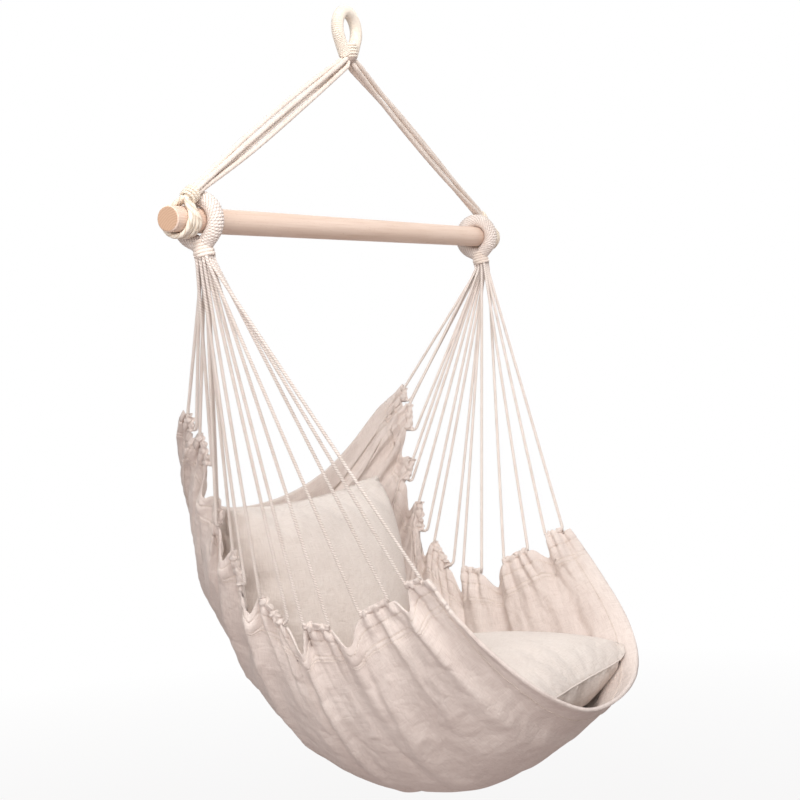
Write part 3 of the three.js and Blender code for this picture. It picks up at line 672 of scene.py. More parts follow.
def beech_material():
    """Sanded beech: pale, with long grain, short flecks and darker end grain."""
    wood = Surface("beech", 0.5)
    grain, lines, flecks = (wood.noise(wood.scaled(wood.place, scale), 1.0, *detail) for scale, detail in (
        ((3.2, 60, 60), (5.0, 0.6)), ((7, 420, 420), (3.0, 0.65)), ((190, 900, 900), (1.0, 0.5))))
    base = wood.ramp(grain, "dfc4b1", "ebd3c3", 0.32, 0.66)
    base = wood.mixed("MULTIPLY", 0.28, base, wood.ramp(lines, "cba88f", "ffffff", 0.28, 0.5))
    base = wood.mixed("MULTIPLY", 0.35, base, wood.ramp(flecks, "b98e6e", "ffffff", 0.2, 0.34))
    outward = wood.math("ABSOLUTE", wood.split(wood.place)[0])
    on_end = wood.math("GREATER_THAN", outward, bar_length / 2 - 0.0004)
    pith = wood.add("Mapping", {"Vector": wood.place, "Location": (0, 0.021, bar_drop + 0.030)})
    rings = wood.add("TexWave", {"Vector": pith, "Scale": 95.0, "Distortion": 4.0, "Detail": 3.0}, "Fac",
                     wave_type="RINGS", rings_direction="X")
    base = wood.mixed("MIX", on_end, base, wood.ramp(rings, "bf9c82", "caa78d", 0.2, 0.8))
    return wood.finish(base, (lines, 0.0003, 0.4))


# The third colour of each laid cord and of the stitch thread is painted shade between its plies; the first two
# are its own mottled tones.
cotton_cord = cord_material("cotton_cord", "f0e6df", "e6dad2", "ad9c92")
cream_cord = cord_material("cream_cord", "f6ecdd", "ecdfce", "cbb8a4")
cotton_yarn = cord_material("cotton_yarn", "efe2d8", "e5d6ca")
cream_yarn = cord_material("cream_yarn", "f6ecdf", "eee1d2")
canvas_cloth = cloth_material("canvas_cloth", "e5d8d0", "d7c8c0", "bcaba3")
cushion_cloth = cloth_material("cushion_cloth", "e1d6ce", "d8ccc4", "c2b4a9")
stitch_thread = cord_material("stitch_thread", "ece0d6", "d9cbbf", "b39f92")


# Camera

def make_camera():
    """The photograph's camera: fitted to the bar's ends, the eye and the rings."""
    data = bpy.data.cameras.new("camera")
    data.sensor_width, data.lens = camera_sensor, camera_lens
    data.clip_start, data.clip_end = camera_clip
    yaw, pitch, roll = (math.radians(angle) for angle in camera_angles)
    ahead = vec(-math.sin(yaw) * math.cos(pitch), math.cos(yaw) * math.cos(pitch), -math.sin(pitch))
    right = vec(math.cos(yaw), math.sin(yaw), 0)
    up = np.cross(right, ahead)
    rolled_right = math.cos(roll) * right + math.sin(roll) * up
    rolled_up = -math.sin(roll) * right + math.cos(roll) * up
    place = vec(*camera_place) - vec(0, 0, bar_drop)
    camera = bpy.data.objects.new("camera", data)
    camera.matrix_world = Matrix([*xyz(rolled_right, rolled_up, -ahead, place).tolist(), [0, 0, 0, 1]])
    bpy.context.scene.collection.objects.link(camera)
    bpy.context.scene.camera = camera


# Cords, strands and windings

def make_seat_cords():
    for side_name, side in sides:
        for pair, (route, _) in enumerate(cord_routes):
            skin = Skin()
            skin.twisted(mirrored(route, side), cord_diameter * cord_fullness, cord_pitch)
            name = f"seat_cord_{side_name}_{pair + 1}"
            skin.make(f"twisted_{name}", cotton_cord, "seat", "cotton_cord", name)


def make_eye():
    radius = eye_width / 2
    centre_drop = radius - eye_rope_diameter / 2
    leg_spread = eye_rope_diameter / 2 + rest_gap
    neck_start = knob_drop - knob_collar_height - centre_drop + eye_rope_diameter / 4
    route = loop_route(radius, neck_start, leg_spread, 0)[1:-1] - vec(0, 0, centre_drop)
    skin = Skin()
    line = wound(route, eye_rope_diameter, eye_cord_diameter, eye_cord_diameter * eye_pitch_share)
    skin.plain(line, eye_cord_diameter)
    above, below = knob_winding_reach
    heights = np.linspace(knob_drop - above, knob_drop + below, neck_points)
    share = (heights - heights[0]) / (heights[-1] - heights[0])
    rounded = np.clip(1 - (np.clip(share - knob_shoulder, 0, 1) / knob_rounding) ** 2, 0, 1)
    girth = knob_winding_girth * np.sqrt(rounded)
    line = wound(xyz(0, 0, -heights), lambda at: np.interp(at, share, girth), eye_cord_diameter,
                 eye_cord_diameter)
    skin.plain(line, eye_cord_diameter)
    skin.make("eye_winding", cream_yarn, "eye", "cotton_cord", "eye_whipping")


def make_harness(side_name, side):
    turn = turn_about("X", harness_roll[side_name])
    place = vec(side * (bar_length / 2 - harness_inset), 0, -bar_drop)
    settle = lambda points: points @ turn.T + place
    radius = bar_diameter / 2 + bar_clearance + strand_diameter * loop_fullness / 2
    route = loop_route(radius, harness_neck_start, harness_leg_spread, 0.004)
    route = xyz(route[:, 1], route[:, 0], -route[:, 2])
    at = np.arange(len(route))
    ease = np.clip(np.minimum(at, at[::-1]) / loop_ease_points, 0, 1)
    sag = loop_slack * ease * np.sin(math.pi * at / at[-1])
    outward = route / np.maximum(np.linalg.norm(route, axis=1), 1e-6)[:, None]
    loops = Skin()
    for row in range(4):
        spread = (1.5 - row) * (strand_diameter + rest_gap) * loop_spread_share
        line = route + outward * (sag * (row % 2))[:, None]
        line = line + xyz(spread * (loop_neck_share + (1 - loop_neck_share) * ease), 0, 0)
        loops.twisted(settle(line), strand_diameter * loop_fullness, loop_pitch, 0.0025, 2, soft_groove)
    tilt = turn_about("Y", -side * harness_neck_tilt)
    neck = lambda low, high, count: vec(0, 0, harness_neck_start) + xyz(
        0, 0, np.linspace(low, high, count)) @ tilt.T
    core = settle(neck(-0.003, harness_neck_height, 8))
    loops.plain(core, harness_neck_diameter - 2 * harness_cord_diameter, 14)
    loops.make(f"harness_cords_{side_name}", cream_cord, "harness", "cream_cord", f"harness_loop_{side_name}")

    winding = Skin()
    girth = lambda at: harness_neck_diameter + 0.001 + harness_neck_belly * np.sin(math.pi * at)
    line = wound(neck(0, harness_neck_height - 0.001, neck_points), girth, harness_cord_diameter,
                 harness_cord_diameter)
    winding.twisted(settle(line), harness_cord_diameter * 1.1, 0.012, passes=1, groove=0.2)
    winding.make(f"harness_winding_{side_name}", cream_cord, "harness", "cream_cord",
                 f"harness_neck_whipping_{side_name}")
    make_strands(side_name, side, turn, place)


def make_strands(side_name, side, turn, place):
    """Four cords from the harness's neck to the ball at the eye, lying side by side."""
    axis = turn @ vec(-side * math.sin(harness_neck_tilt), 0, math.cos(harness_neck_tilt))
    aside = turn @ vec(side * math.cos(harness_neck_tilt), 0, math.sin(harness_neck_tilt))
    rearward = turn @ vec(0, 1, 0)
    neck_top = turn @ vec(0, 0, harness_neck_start) + place + axis * (harness_neck_height + rest_gap)
    knob = vec(0, 0, -knob_drop)
    pull = heading(neck_top, knob)
    ribbon = vec(side * pull[2], 0, abs(pull[0]))
    seat_radius = knob_diameter / 2 + rest_gap
    upper = math.atan2(abs(pull[0]), abs(pull[2]))
    lower = upper - strand_drop_share * strand_spacing / seat_radius
    lead = strand_lead_share * strand_diameter
    for i, (outboard, rear) in enumerate(((1, 1), (1, -1), (-1, 1), (-1, -1))):
        start = neck_top + (aside * outboard + rearward * rear) * strand_spacing / 2
        angle = upper if outboard > 0 else lower
        slant = math.asin(strand_spacing / 2 / seat_radius) * rear
        radial = unit(vec(side * math.sin(angle) * math.cos(slant), math.sin(slant),
                          -math.cos(angle) * math.cos(slant)))
        end = knob + radial * seat_radius
        mitre = outboard * strand_spacing / 2 * math.tan(angle_between(axis, pull) / 2)
        middle = [neck_top + (knob - neck_top) * share + strand_spacing * (
            vec(0, rear * strand_thickness_share, 0) + ribbon * (1.5 - i - strand_low_share * share))
            for share in strand_middle_shares]
        curve = centripetal([start + axis * (lead + mitre), *middle, end + radial * lead])
        line = np.array([start - axis * strand_buried[0], start, *curve, end, end - radial * strand_buried[1]])
        skin = Skin()
        skin.twisted(line, strand_diameter * strand_fullness, strand_pitch, 0.004, groove=strand_groove)
        name = f"harness_strand_{side_name}_{i + 1}"
        skin.make(f"twisted_{name}", cotton_yarn, "harness", "cotton_cord", name)


def make_ring(side_name, side):
    settle = lambda points: xyz(-points[:, 1], points[:, 0], points[:, 2]) @ lean_turn.T + vec(
        side * ring_place, 0, -bar_drop)
    girth = ring_rope_diameter * ring_fullness
    route = loop_route(bar_diameter / 2 + bar_clearance + girth / 2, ring_neck_start, ring_leg_spread, 0)[1:-1]
    skin = Skin()
    line = wound(route, girth, ring_cord_diameter, ring_cord_diameter * winding_pitch_share)
    skin.twisted(settle(line), ring_cord_diameter * 1.16, winding_lay, passes=1, groove=soft_groove)
    skin.make(f"ring_winding_{side_name}", cotton_cord, "seat", "cotton_cord", f"ring_whipping_{side_name}")

    skin = Skin()
    neck_diameter = math.sqrt(2) * cord_spacing * (legs_per_row - 1) + cord_diameter
    heights = np.linspace(ring_neck_start - ring_neck_reach, ring_neck_start + ring_neck_height, neck_points)
    girth = lambda at: np.interp(at, [0, 0.25, 1], [*ring_neck_girths, neck_diameter + 0.002])
    line = wound(xyz(0, 0, -heights), girth, ring_cord_diameter, ring_cord_diameter)
    skin.twisted(settle(line), ring_cord_diameter * 1.12, winding_lay, passes=1, groove=0.12)
    skin.make(f"ring_neck_winding_{side_name}", cotton_yarn, "seat", "cotton_cord",
              f"ring_neck_whipping_{side_name}")


# Canvas seat

edge_inset = cord_diameter / 2 + rest_gap + casing_wall / 2


def shares_between(start, end, cell):
    """Shares of the way between two points, about one cell apart, without the last."""
    count = max(4, round(np.linalg.norm(end - start) / cell))
    return np.arange(count) / count


def hem_columns():
    """Fine columns along the right hem, rear to front: hem point, dip, fold and closeness to a cord."""
    columns = []
    for pair, (_, (first, second)) in enumerate(cord_routes):
        reach = heading(first, second) * hem_corner_reach
        if pair == 0:
            columns += [(first - reach * t, edge_inset, 1 - t, 1 - t) for t in (1.0, 0.66, 0.33)]
        columns += [(first + (second - first) * t, edge_inset, 1.0, 1.0)
                    for t in shares_between(first, second, gather_cell)]
        if pair == pair_count - 1:
            columns += [(second + reach * t, edge_inset, 1 - t, 1 - t) for t in (0, 0.33, 0.66, 1.0)]
            break
        following = cord_routes[pair + 1][1][0]
        ease = min(np.linalg.norm(following - second) / fold_spacing, 1)
        skew = 1 + notch_lean * (-1) ** pair
        for t in shares_between(second, following, cloth_cell):
            arch = math.sin(math.pi * t ** skew) ** notch_power
            dip = edge_inset + arch * notch_shares[pair] * notch_depth
            columns.append((second + (following - second) * t, dip, 1 - arch - ease * arch, (1 - arch) ** 2))
    return [np.array(values) for values in zip(*columns)]


hems, dips, folds, gathers = hem_columns()
hem_run = lengths_along(hems)
places = hem_run / hem_run[-1]
centres = at_lengths(centre_line, places * lengths_along(centre_line)[-1])
on_cords = np.flatnonzero(gathers > 0.999)
run_columns = np.split(on_cords, np.flatnonzero(np.diff(on_cords) > 1) + 1)
cord_runs = [(hem_run[group[0]], hem_run[group[-1]]) for group in run_columns]
seam_distances = np.add.outer(stitch_rows, seam_offsets).ravel()
band_distances = np.sort([*seam_distances, *(
    share * hem_band for share in band_shares
    if np.abs(share * hem_band - seam_distances).min() > seam_clearance)])


def half_section(i):
    """One column's cross-section, from the centre line to the right hem."""
    row = np.linspace(0, 1, section_points)
    power = 2 / sum(share * places[i] ** k for k, share in enumerate(section_power_shares))
    deep = np.where(row >= 1, 0, np.cos(math.pi / 2 * row) ** power)
    bulge = front_bulge * places[i] ** edge_fade_power * np.sin(math.pi * row) ** 2
    rise = rear_rise * (1 - places[i]) ** edge_fade_power * np.sin(math.pi * row * row) ** 2
    return xyz(hems[i, 0] * np.sin(math.pi / 2 * row) ** power,
               hems[i, 1] + (centres[i, 1] - hems[i, 1]) * deep - bulge,
               hems[i, 2] + (centres[i, 2] - hems[i, 2]) * deep + rise)


def seat_grid():
    """The canvas's middle surface: columns from rear to front, rows from the left hem to the right one.

    Beside each point goes its depth below the hem, in which the doubled band is equally wide everywhere.
    """
    grid, depths = [], []
    for i in range(len(hems)):
        fine = half_section(i)
        notch = (dips[i] - edge_inset) * (1 - band_follows_notch)
        outer = lengths_along(fine)[-1] - dips[i] - band_distances * (1 - notch / hem_band)
        field = np.linspace(0, outer[-1], field_rows, endpoint=False)
        right = at_lengths(fine, np.append(field, outer[::-1]))
        edge = np.append(band_distances[-1] + outer[-1] - field, band_distances[::-1])
        grid.append(np.concatenate([mirrored(right, -1)[::-1], right[1:]]))
        depths.append(np.append(edge[::-1], edge[1:]))
    return np.array(grid), np.array(depths)


def halves(grid):
    """0 and the rows of the left half, then 1 and those of the right one."""
    middle = grid.shape[1] // 2
    return enumerate((slice(0, middle), slice(middle, None)))


def grid_normals(grid):
    return units(np.cross(np.gradient(grid, axis=0), np.gradient(grid, axis=1)))


def grid_faces(width, height):
    first = (np.arange(width - 1)[:, None] * height + np.arange(height - 1)[None, :]).reshape(-1)
    return np.stack([first, first + height, first + height + 1, first + 1], axis=1)


def rim_of(index):
    """The border of a grid of indices, once round."""
    return np.concatenate([index[:-1, 0], index[-1, :-1], index[:0:-1, -1], index[0, :0:-1]])


def blurred(field, passes):
    """Smooths a field on the grid, with its borders repeated."""
    for _ in range(passes):
        for axis in (0, 1):
            moved = np.moveaxis(field, axis, 0)
            padded = np.concatenate([moved[:1], moved, moved[-1:]])
            field = np.moveaxis(0.25 * padded[:-2] + 0.5 * padded[1:-1] + 0.25 * padded[2:], 0, axis)
    return field


def spread(values, known, wanted):
    """Interpolates along the first axis, from the known places to the wanted ones."""
    lines = values.reshape(len(values), -1).T
    return np.stack([np.interp(wanted, known, line) for line in lines], axis=1).reshape(-1, *values.shape[1:])


def capped(shift, limit):
    size = np.linalg.norm(shift, axis=-1, keepdims=True)
    return shift * np.where(size > 1e-9, limit * np.tanh(size / limit) / np.maximum(size, 1e-9), 1)


def simulated(name, points, faces, pinned, frames, grow, pressure=0.0, weight=1.0):
    """Runs a cloth simulation on a mesh and returns where its points end."""
    piece = mesh_object(name, points, faces, canvas_cloth)
    piece.vertex_groups.new(name="pins").add(pinned.tolist(), 1.0, "REPLACE")
    cloth = piece.modifiers.new("cloth", "CLOTH")
    own = {"use_pressure": pressure > 0, "uniform_pressure_force": pressure, "shrink_min": -grow}
    for key, value in (*cloth_settings.items(), *own.items()):
        setattr(cloth.settings, key, value)
    cloth.settings.effector_weights.gravity = weight
    cloth.collision_settings.use_collision = False
    cloth.point_cache.frame_start = 1
    cloth.point_cache.frame_end = frames + 1
    scene = bpy.context.scene
    for number in range(1, frames + 1):
        scene.frame_set(number)
    view = piece.evaluated_get(bpy.context.evaluated_depsgraph_get())
    moved = np.zeros(len(points) * 3, np.float32)
    view.data.vertices.foreach_get("co", moved)
    scene.frame_set(1)
    mesh = piece.data
    bpy.data.objects.remove(piece)
    bpy.data.meshes.remove(mesh)
    return moved.reshape(-1, 3).astype(float)


def wrinkled(grid, depths):
    """The small folds that the cloth takes when it is a little too large for its hang."""
    columns, rows = (np.arange(size) for size in grid.shape[:2])
    spots = np.searchsorted(hem_run, np.arange(0, hem_run[-1], 3 * cloth_cell))
    some_columns = np.unique(np.append(spots, columns[-1]))
    band = len(band_distances)
    in_band = np.arange(0, band, 4)
    some_rows = np.concatenate([in_band, np.arange(band, len(rows) - band, 2), rows[-1] - in_band[::-1]])
    chosen = np.ix_(some_columns, some_rows)
    rough = grid[chosen]
    held = np.flatnonzero(depths[chosen] < band_distances[1])
    moved = simulated("canvas_run", rough.reshape(-1, 3), grid_faces(*rough.shape[:2]), held, cloth_frames,
                      cloth_excess)
    shift = moved.reshape(rough.shape) - rough
    shift = capped(shift - blurred(shift, wrinkle_passes), wrinkle_cap)
    return spread(spread(shift, some_columns, columns).swapaxes(0, 1), some_rows, rows).swapaxes(0, 1)


def smooth_ridge(offset, width):
    return np.exp(-(np.sqrt(offset ** 2 + (0.25 * width) ** 2) - 0.25 * width) / width)


def lopsided_ridge(offset, width, lean):
    """A fold that lies over to one side: steep there, and long on the other."""
    return np.where(offset * lean > 0, smooth_ridge(offset, width * fold_steepness),
                    smooth_ridge(offset, width * (2 - fold_steepness)))


def pleat_profile(start, end, chance):
    """One run's pleats, in and out of the cloth by turns: places along the hem, heights and lengths."""
    knots = [start - pleat_spacing[1]]
    while knots[-1] < end + pleat_spacing[0]:
        knots.append(knots[-1] + chance.uniform(*pleat_spacing))
    spots = np.arange(knots[0], knots[-1], gather_cell / 3)
    lobe = np.searchsorted(knots, spots, side="right") - 1
    share = (spots - np.array(knots)[lobe]) / np.diff(knots)[lobe]
    heights = chance.uniform(*pleat_height, len(knots)) * np.where(np.arange(len(knots)) % 2, 1, -1)
    lengths = chance.uniform(*pleat_length, len(knots))
    fade = np.clip((spots - start) / pleat_fade + 1, 0, 1) * np.clip((end - spots) / pleat_fade + 1, 0, 1)
    return spots, heights[lobe] * np.sin(math.pi * share) ** 0.8 * fade, lengths[lobe]


run_pleats = [[pleat_profile(start, end, np.random.RandomState(50 + 10 * k + side))
               for k, (start, end) in enumerate(cord_runs)] for side in (0, 1)]


def pleats(profiles, depth):
    """The height of the pleats that the cords gather in the hem, fanning out downwards."""
    field = np.zeros(depth.shape)
    for (start, end), (spots, profile, lengths) in zip(cord_runs, profiles):
        middle = (start + end) / 2
        sway = pleat_sway * np.sin(depth * 75 + 40 * start)
        source = middle + (hem_run[:, None] - middle + sway) / (1 + depth / pleat_spread)
        height = np.interp(source, spots, profile, 0, 0)
        field += height * np.exp(-(depth / np.interp(source, spots, lengths)) ** 2)
    return field


def gather_field(depth, chance):
    """The longer folds that the cords pull in the cloth, and those that hang from the notches."""
    along = hem_run[:, None]
    field = np.zeros(depth.shape)

    def add_fold(below, offset, width, height, reach):
        fade = np.clip(below / fold_start, 0, 1) * np.exp(-(np.clip(below, 0, None) / reach) ** 2)
        field[:] += height * fade * lopsided_ridge(offset, width, chance.choice([1, -1]))

    for start, end in cord_runs:
        for place in (start, (start + end) / 2, end):
            width = tension_width * chance.uniform(*tension_widths)
            height = tension_height * chance.uniform(*tension_heights) * chance.choice([1, -1])
            reach = chance.uniform(*tension_length)
            drift = chance.uniform(*tension_drift)
            bowed = chance.uniform(*tension_bow)
            offset = along - place - drift * depth - bowed * depth ** 2
            add_fold(depth, offset, width * (1 + depth / tension_widening), height, reach)
    for (_, start), (end, _) in zip(cord_runs[:-1], cord_runs[1:]):
        place = start + (end - start) * chance.uniform(*notch_fold_place)
        height = chance.uniform(*notch_fold_height)
        reach = chance.uniform(*notch_fold_length)
        drift = chance.uniform(*notch_fold_drift)
        below = depth - notch_fold_start * hem_band
        add_fold(below, along - place - drift * below, notch_fold_width, height, reach)
    return field


def crease_field(depth, chance):
    """Short soft creases in every direction, closer together near the hems."""
    field = np.zeros(depth.shape)
    longer, wider, higher = crease_growth
    for _ in range(crease_count):
        place = chance.uniform(0, hem_run[-1])
        level = depth.max() * chance.uniform(0, 1) ** crease_crowding
        angle = chance.uniform(0, math.pi)
        length = chance.uniform(*crease_length) * (1 + level / longer)
        width = crease_width * chance.uniform(*crease_widths) * (1 + level / wider)
        height = crease_height * chance.uniform(-1, 1) * (1 + level / higher)
        columns = np.flatnonzero(np.abs(hem_run - place) < 2.4 * length)
        near = slice(columns[0], columns[-1] + 1)
        u, v = hem_run[near, None] - place, depth[near] - level
        run = u * math.cos(angle) + v * math.sin(angle)
        off = v * math.cos(angle) - u * math.sin(angle) + run * run * chance.uniform(*crease_bow)
        field[near] += height * np.exp(-(run / length) ** 2) * smooth_ridge(off, width)
    return field


def seat_surface():
    """The hanging canvas: the fitted shape, its gathers, its creases and its simulated folds."""
    grid, depths = seat_grid()
    height = folds[:, None] * np.interp(depths, *fold_fade) * fold_height
    ends = np.minimum(hem_run, hem_run[-1] - hem_run)[:, None]
    firm = np.interp(ends / front_hem, *firm_shares)
    knots = np.arange(0, hem_run[-1] + notch_ripple_spacing, notch_ripple_spacing)
    for side, rows in halves(grid):
        chance = np.random.RandomState(31 + side)
        depth = depths[:, rows]
        calm = np.interp(depth / depth.max(), *calm_shares)
        height[:, rows] += (gather_field(depth, chance) + crease_field(depth, chance)) * calm * firm
        height[:, rows] += pleats(run_pleats[side], depth)
        ripple = np.interp(hem_run, knots, chance.uniform(-1, 1, len(knots))) * (1 - gathers)
        height[:, rows] += notch_ripple * ripple[:, None] * np.exp(-depth / notch_ripple_depth)
    past = hem_run[:, None] - rear_hem
    tuck = np.clip(past / rear_tuck_start, 0, 1) * np.exp(-np.clip(past, 0, None) / rear_tuck_reach)
    height += rear_tuck * tuck * np.interp(depths, [0, 0.02, 0.05], [0, 0.4, 1])
    grid = grid + grid_normals(grid) * height[..., None]
    return grid + wrinkled(grid, depths), depths


def tunnel_swell(depths):
    """How far the gathered tunnel of a cord, above the first row of stitches, is puffed out."""
    swell = np.zeros(depths.shape)
    for side, rows in halves(depths):
        crest = sum(np.abs(np.interp(hem_run, spots, profile, 0, 0))
                    for spots, profile, _ in run_pleats[side]) / pleat_height[1]
        arch = np.sin(math.pi * np.clip(depths[:, rows] / stitch_rows[0], 0, 1))
        swell[:, rows] = tunnel_puff * (gathers * (0.35 + 0.65 * crest))[:, None] * arch
    return swell


def canvas_thickness_at(depths):
    """Doubled at the hems, so that their stitched edges stand out as low steps."""
    front, rear = (hem_run[-1] - hem_run)[:, None], hem_run[:, None]
    doubled = (depths < hem_band) | (front < front_hem) | (rear < rear_hem)
    roll = np.clip(1 - np.minimum(front, rear) / roll_width, 0, 1)
    layers = np.where(doubled, hem_layers, 1.0) + (rolled_layers - hem_layers) * np.sqrt(roll)
    edge = np.clip(depths / edge_rounding, 0, 1)
    thickness = canvas_thickness * (1 + (layers - 1) * (0.6 + 0.4 * edge)) + tunnel_swell(depths)
    for row in stitch_rows:
        thickness = thickness * (1 - seam_pinch * np.exp(-((depths - row) / seam_width) ** 2))
    return thickness


def closed_sheet(grid, thickness):
    """A closed shell about a grid."""
    half = grid_normals(grid) * thickness[..., None] / 2
    count = thickness.size
    faces = grid_faces(*thickness.shape)
    rim = rim_of(np.arange(count).reshape(thickness.shape))
    following = np.roll(rim, -1)
    wall = np.stack([rim, following, following + count, rim + count], axis=1)[:, ::-1]
    verts = np.concatenate([(grid + half).reshape(-1, 3), (grid - half).reshape(-1, 3)])
    return verts, np.concatenate([faces, faces[:, ::-1] + count, wall])


def casing_ring(centre, run, down, proud, frill):
    """A section of the hem about its cord, pleated out on one side, with a leaning frill above it."""
    wall = cord_diameter / 2 + 0.7 * casing_wall
    half = canvas_thickness * 0.85
    foot = -edge_inset - casing_overlap
    lean = proud * frill_lean_share * frill / frill_height[1]
    angles = np.linspace(*flank_angles, 7)
    outline = [(-half, foot)]
    for sign in (-1, 1):
        swell = wall + 0.75 * max(0.0, proud * sign)
        points = [(sign * swell * math.sin(angle), -wall * math.cos(angle)) for angle in angles]
        points += [(sign * half * width + lean * bent, wall + height * frill)
                   for width, bent, height in frill_steps]
        outline += points if sign < 0 else [(lean, wall + frill + 0.0005), *points[::-1]]
    outline.append((half, foot))
    sideways, up = np.array(outline[::-1]).T[..., None]
    return centre + np.cross(run, down) * sideways - down * up


def make_casings(grid):
    """The sleeves that the hem forms where it is gathered on each cord."""
    skin = Skin()
    chance = np.random.RandomState(7)
    for side in (1, -1):
        for group, (spots, profile, _) in zip(run_columns, run_pleats[(side + 1) // 2]):
            axis = mirrored(hems[group], side)
            line = resampled(axis, casing_step)
            downs = units(grid[group, -1 if side > 0 else 0] - axis)
            downs = spread(downs, np.linspace(0, 1, len(group)), np.linspace(0, 1, len(line)))
            step = heading(axis[0], axis[-1])
            way = lengths_along(line)
            proud = -side * np.interp(hem_run[group[0]] + way, spots, profile)
            frill = chance.uniform(*frill_height) * (0.35 + 0.65 * np.abs(proud) / pleat_height[1])
            frill *= np.interp(way, way[::8], chance.uniform(0.5, 1.3, len(way[::8])))
            rings = [casing_ring(centre, step, across(down, step), *sizes)
                     for centre, down, *sizes in zip(line, downs, proud, frill)]
            mouths = [0.5 * (ring + ring.mean(axis=0)) for ring in (rings[0], rings[-1])]
            rings = np.array([mouths[0] + step * mouth_recess, *rings, mouths[1] - step * mouth_recess])
            count = rings.shape[1]
            faces = [face[::-side] for face in ring_faces(len(rings), count)]
            run = np.concatenate([[0], way, way[-1:]])
            uv = np.stack(np.meshgrid(run, np.linspace(0, casing_girth, count), indexing="ij"), axis=2)
            skin.add(rings.reshape(-1, 3), faces, uv.reshape(-1, 2))
    return skin.make("hem_casings", canvas_cloth, "seat", "canvas")


def stitch(skin, start, end, normal):
    """One stitch: a short thread that dives into the cloth at both ends."""
    lift = normal * thread_diameter / 2
    line = np.array([start - lift, start + lift * 0.6, (start + end) / 2 + lift, end + lift * 0.6, end - lift])
    skin.plain(line, thread_diameter, 5)


def make_stitching(grid, depths):
    """Rows of stitches along the hems, on both faces of the cloth."""
    normals = grid_normals(grid)
    skin = Skin()
    margin, front_margin = seam_margins

    def sew(line, face, thickness):
        run = lengths_along(line)
        for start in np.arange(margin, run[-1] - stitch_length, stitch_length + stitch_gap):
            a, b = at_lengths(line, [start, start + stitch_length])
            normal = face[min(np.searchsorted(run, start), len(face) - 1)]
            for way in (normal, -normal):
                stitch(skin, a + way * thickness / 2, b + way * thickness / 2, way)

    doubled = canvas_thickness * hem_layers
    columns, half = np.arange(len(grid)), grid.shape[1] // 2
    for side in (1, -1):
        for distance in stitch_rows:
            rows = half + side * np.abs(depths[:, half:] - distance).argmin(axis=1)
            sew(grid[columns, rows], normals[columns, rows], doubled * (1 - seam_pinch))
    for place in (rear_hem - margin, hem_run[-1] - front_hem + front_margin):
        i = np.abs(hem_run - place).argmin()
        inside = depths[i] > margin
        sew(grid[i][inside], normals[i][inside], doubled)
    return skin.make("hem_stitching", stitch_thread, "seat", "canvas")


def make_canvas():
    grid, depths = seat_surface()
    verts, faces = closed_sheet(grid, canvas_thickness_at(depths))
    middle = grid.shape[1] // 2
    sideways = np.cumsum(np.linalg.norm(np.diff(grid, axis=1, prepend=grid[:, :1]), axis=2), axis=1)
    sideways -= sideways[:, middle:middle + 1]
    uv = np.stack([sideways, np.broadcast_to(hem_run[:, None], sideways.shape)], axis=2).reshape(-1, 2)
    piece = mesh_object("canvas_seat", verts, faces, canvas_cloth, np.concatenate([uv, uv]))
    lay_on(piece, "seat", "canvas", "seat_canvas")
    return piece, grid, [make_casings(grid), make_stitching(grid, depths)]


# Cushions

def pillow(width, length, crown):
    """Two crowned faces that meet in a seam, with the sides drawn in between the corners."""
    share = np.sin(math.pi / 2 * (2 * np.arange(cushion_cells + 1) / cushion_cells - 1))
    p, q = np.meshgrid(share, share, indexing="ij")
    swell = np.clip((1 - p * p) * (1 - q * q), 0, 1) ** cushion_swell_power
    x = p * width / 2 * (1 - cushion_draw_share * (1 - q * q))
    y = q * length / 2 * (1 - cushion_draw_share * (1 - p * p))
    return xyz(x, y, swell * crown), xyz(x, y, -swell * crown)


def pillow_mesh(top, bottom):
    """Both faces as one mesh, welded along the seam."""
    count = len(top)
    lower = np.arange(count * count).reshape(count, count)
    lower[1:-1, 1:-1] = count * count + np.arange((count - 2) ** 2).reshape(count - 2, count - 2)
    faces = grid_faces(count, count)
    verts = np.concatenate([top.reshape(-1, 3), bottom[1:-1, 1:-1].reshape(-1, 3)])
    return verts, np.concatenate([faces, lower.reshape(-1)[faces[:, ::-1]]])


def push_inside(points, tree, gap):
    """Moves points that come too near a surface back to its inner side."""
    out = points.copy()
    for i, point in enumerate(points):
        spot, normal = tree.find_nearest(Vector(point), cushion_search)[:2]
        if spot is None:
            continue
        height = (Vector(point) - spot).dot(normal)
        if height < gap:
            out[i] = np.array(Vector(point) + normal * (gap - height))
    return out


def node_tree(name):
    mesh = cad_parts[name].data
    mesh.calc_loop_triangles()
    return search_tree([v.co for v in mesh.vertices], [t.vertices for t in mesh.loop_triangles])


def inside_of(tree, point):
    """Whether a point lies in a closed mesh: a ray from it leaves through an odd number of faces."""
    ray = Vector((0.31, 0.17, 0.93)).normalized()
    start, hits = Vector(point), 0
    while hits < 32:
        spot = tree.ray_cast(start, ray)[0]
        if spot is None:
            break
        hits += 1
        start = spot + ray * 1e-6
    return hits % 2 == 1


def held_to(points, tree, proud):
    """Keeps points no further than proud outside a closed solid."""
    out = points.copy()
    for i, point in enumerate(points):
        spot, _, _, distance = tree.find_nearest(Vector(point))
        if distance > proud and not inside_of(tree, point):
            out[i] = np.array(spot + (Vector(point) - spot) * (proud / distance))
    return out


def relaxed(points, faces, passes, fixed=()):
    """Evens out a mesh: each point moves towards the middle of its neighbours."""
    edges = np.unique(np.sort(np.concatenate([faces[:, [k, (k + 1) % 4]] for k in range(4)]), axis=1), axis=0)
    start, end = np.concatenate([edges, edges[:, ::-1]]).T
    degree = np.bincount(start, minlength=len(points)).astype(float)
    fixed = np.array(fixed, int)
    out = points
    for _ in range(passes):
        total = np.stack([np.bincount(start, out[end, k], len(points)) for k in range(3)], axis=1)
        out = 0.5 * out + 0.5 * total / degree[:, None]
        out[fixed] = points[fixed]
    return out


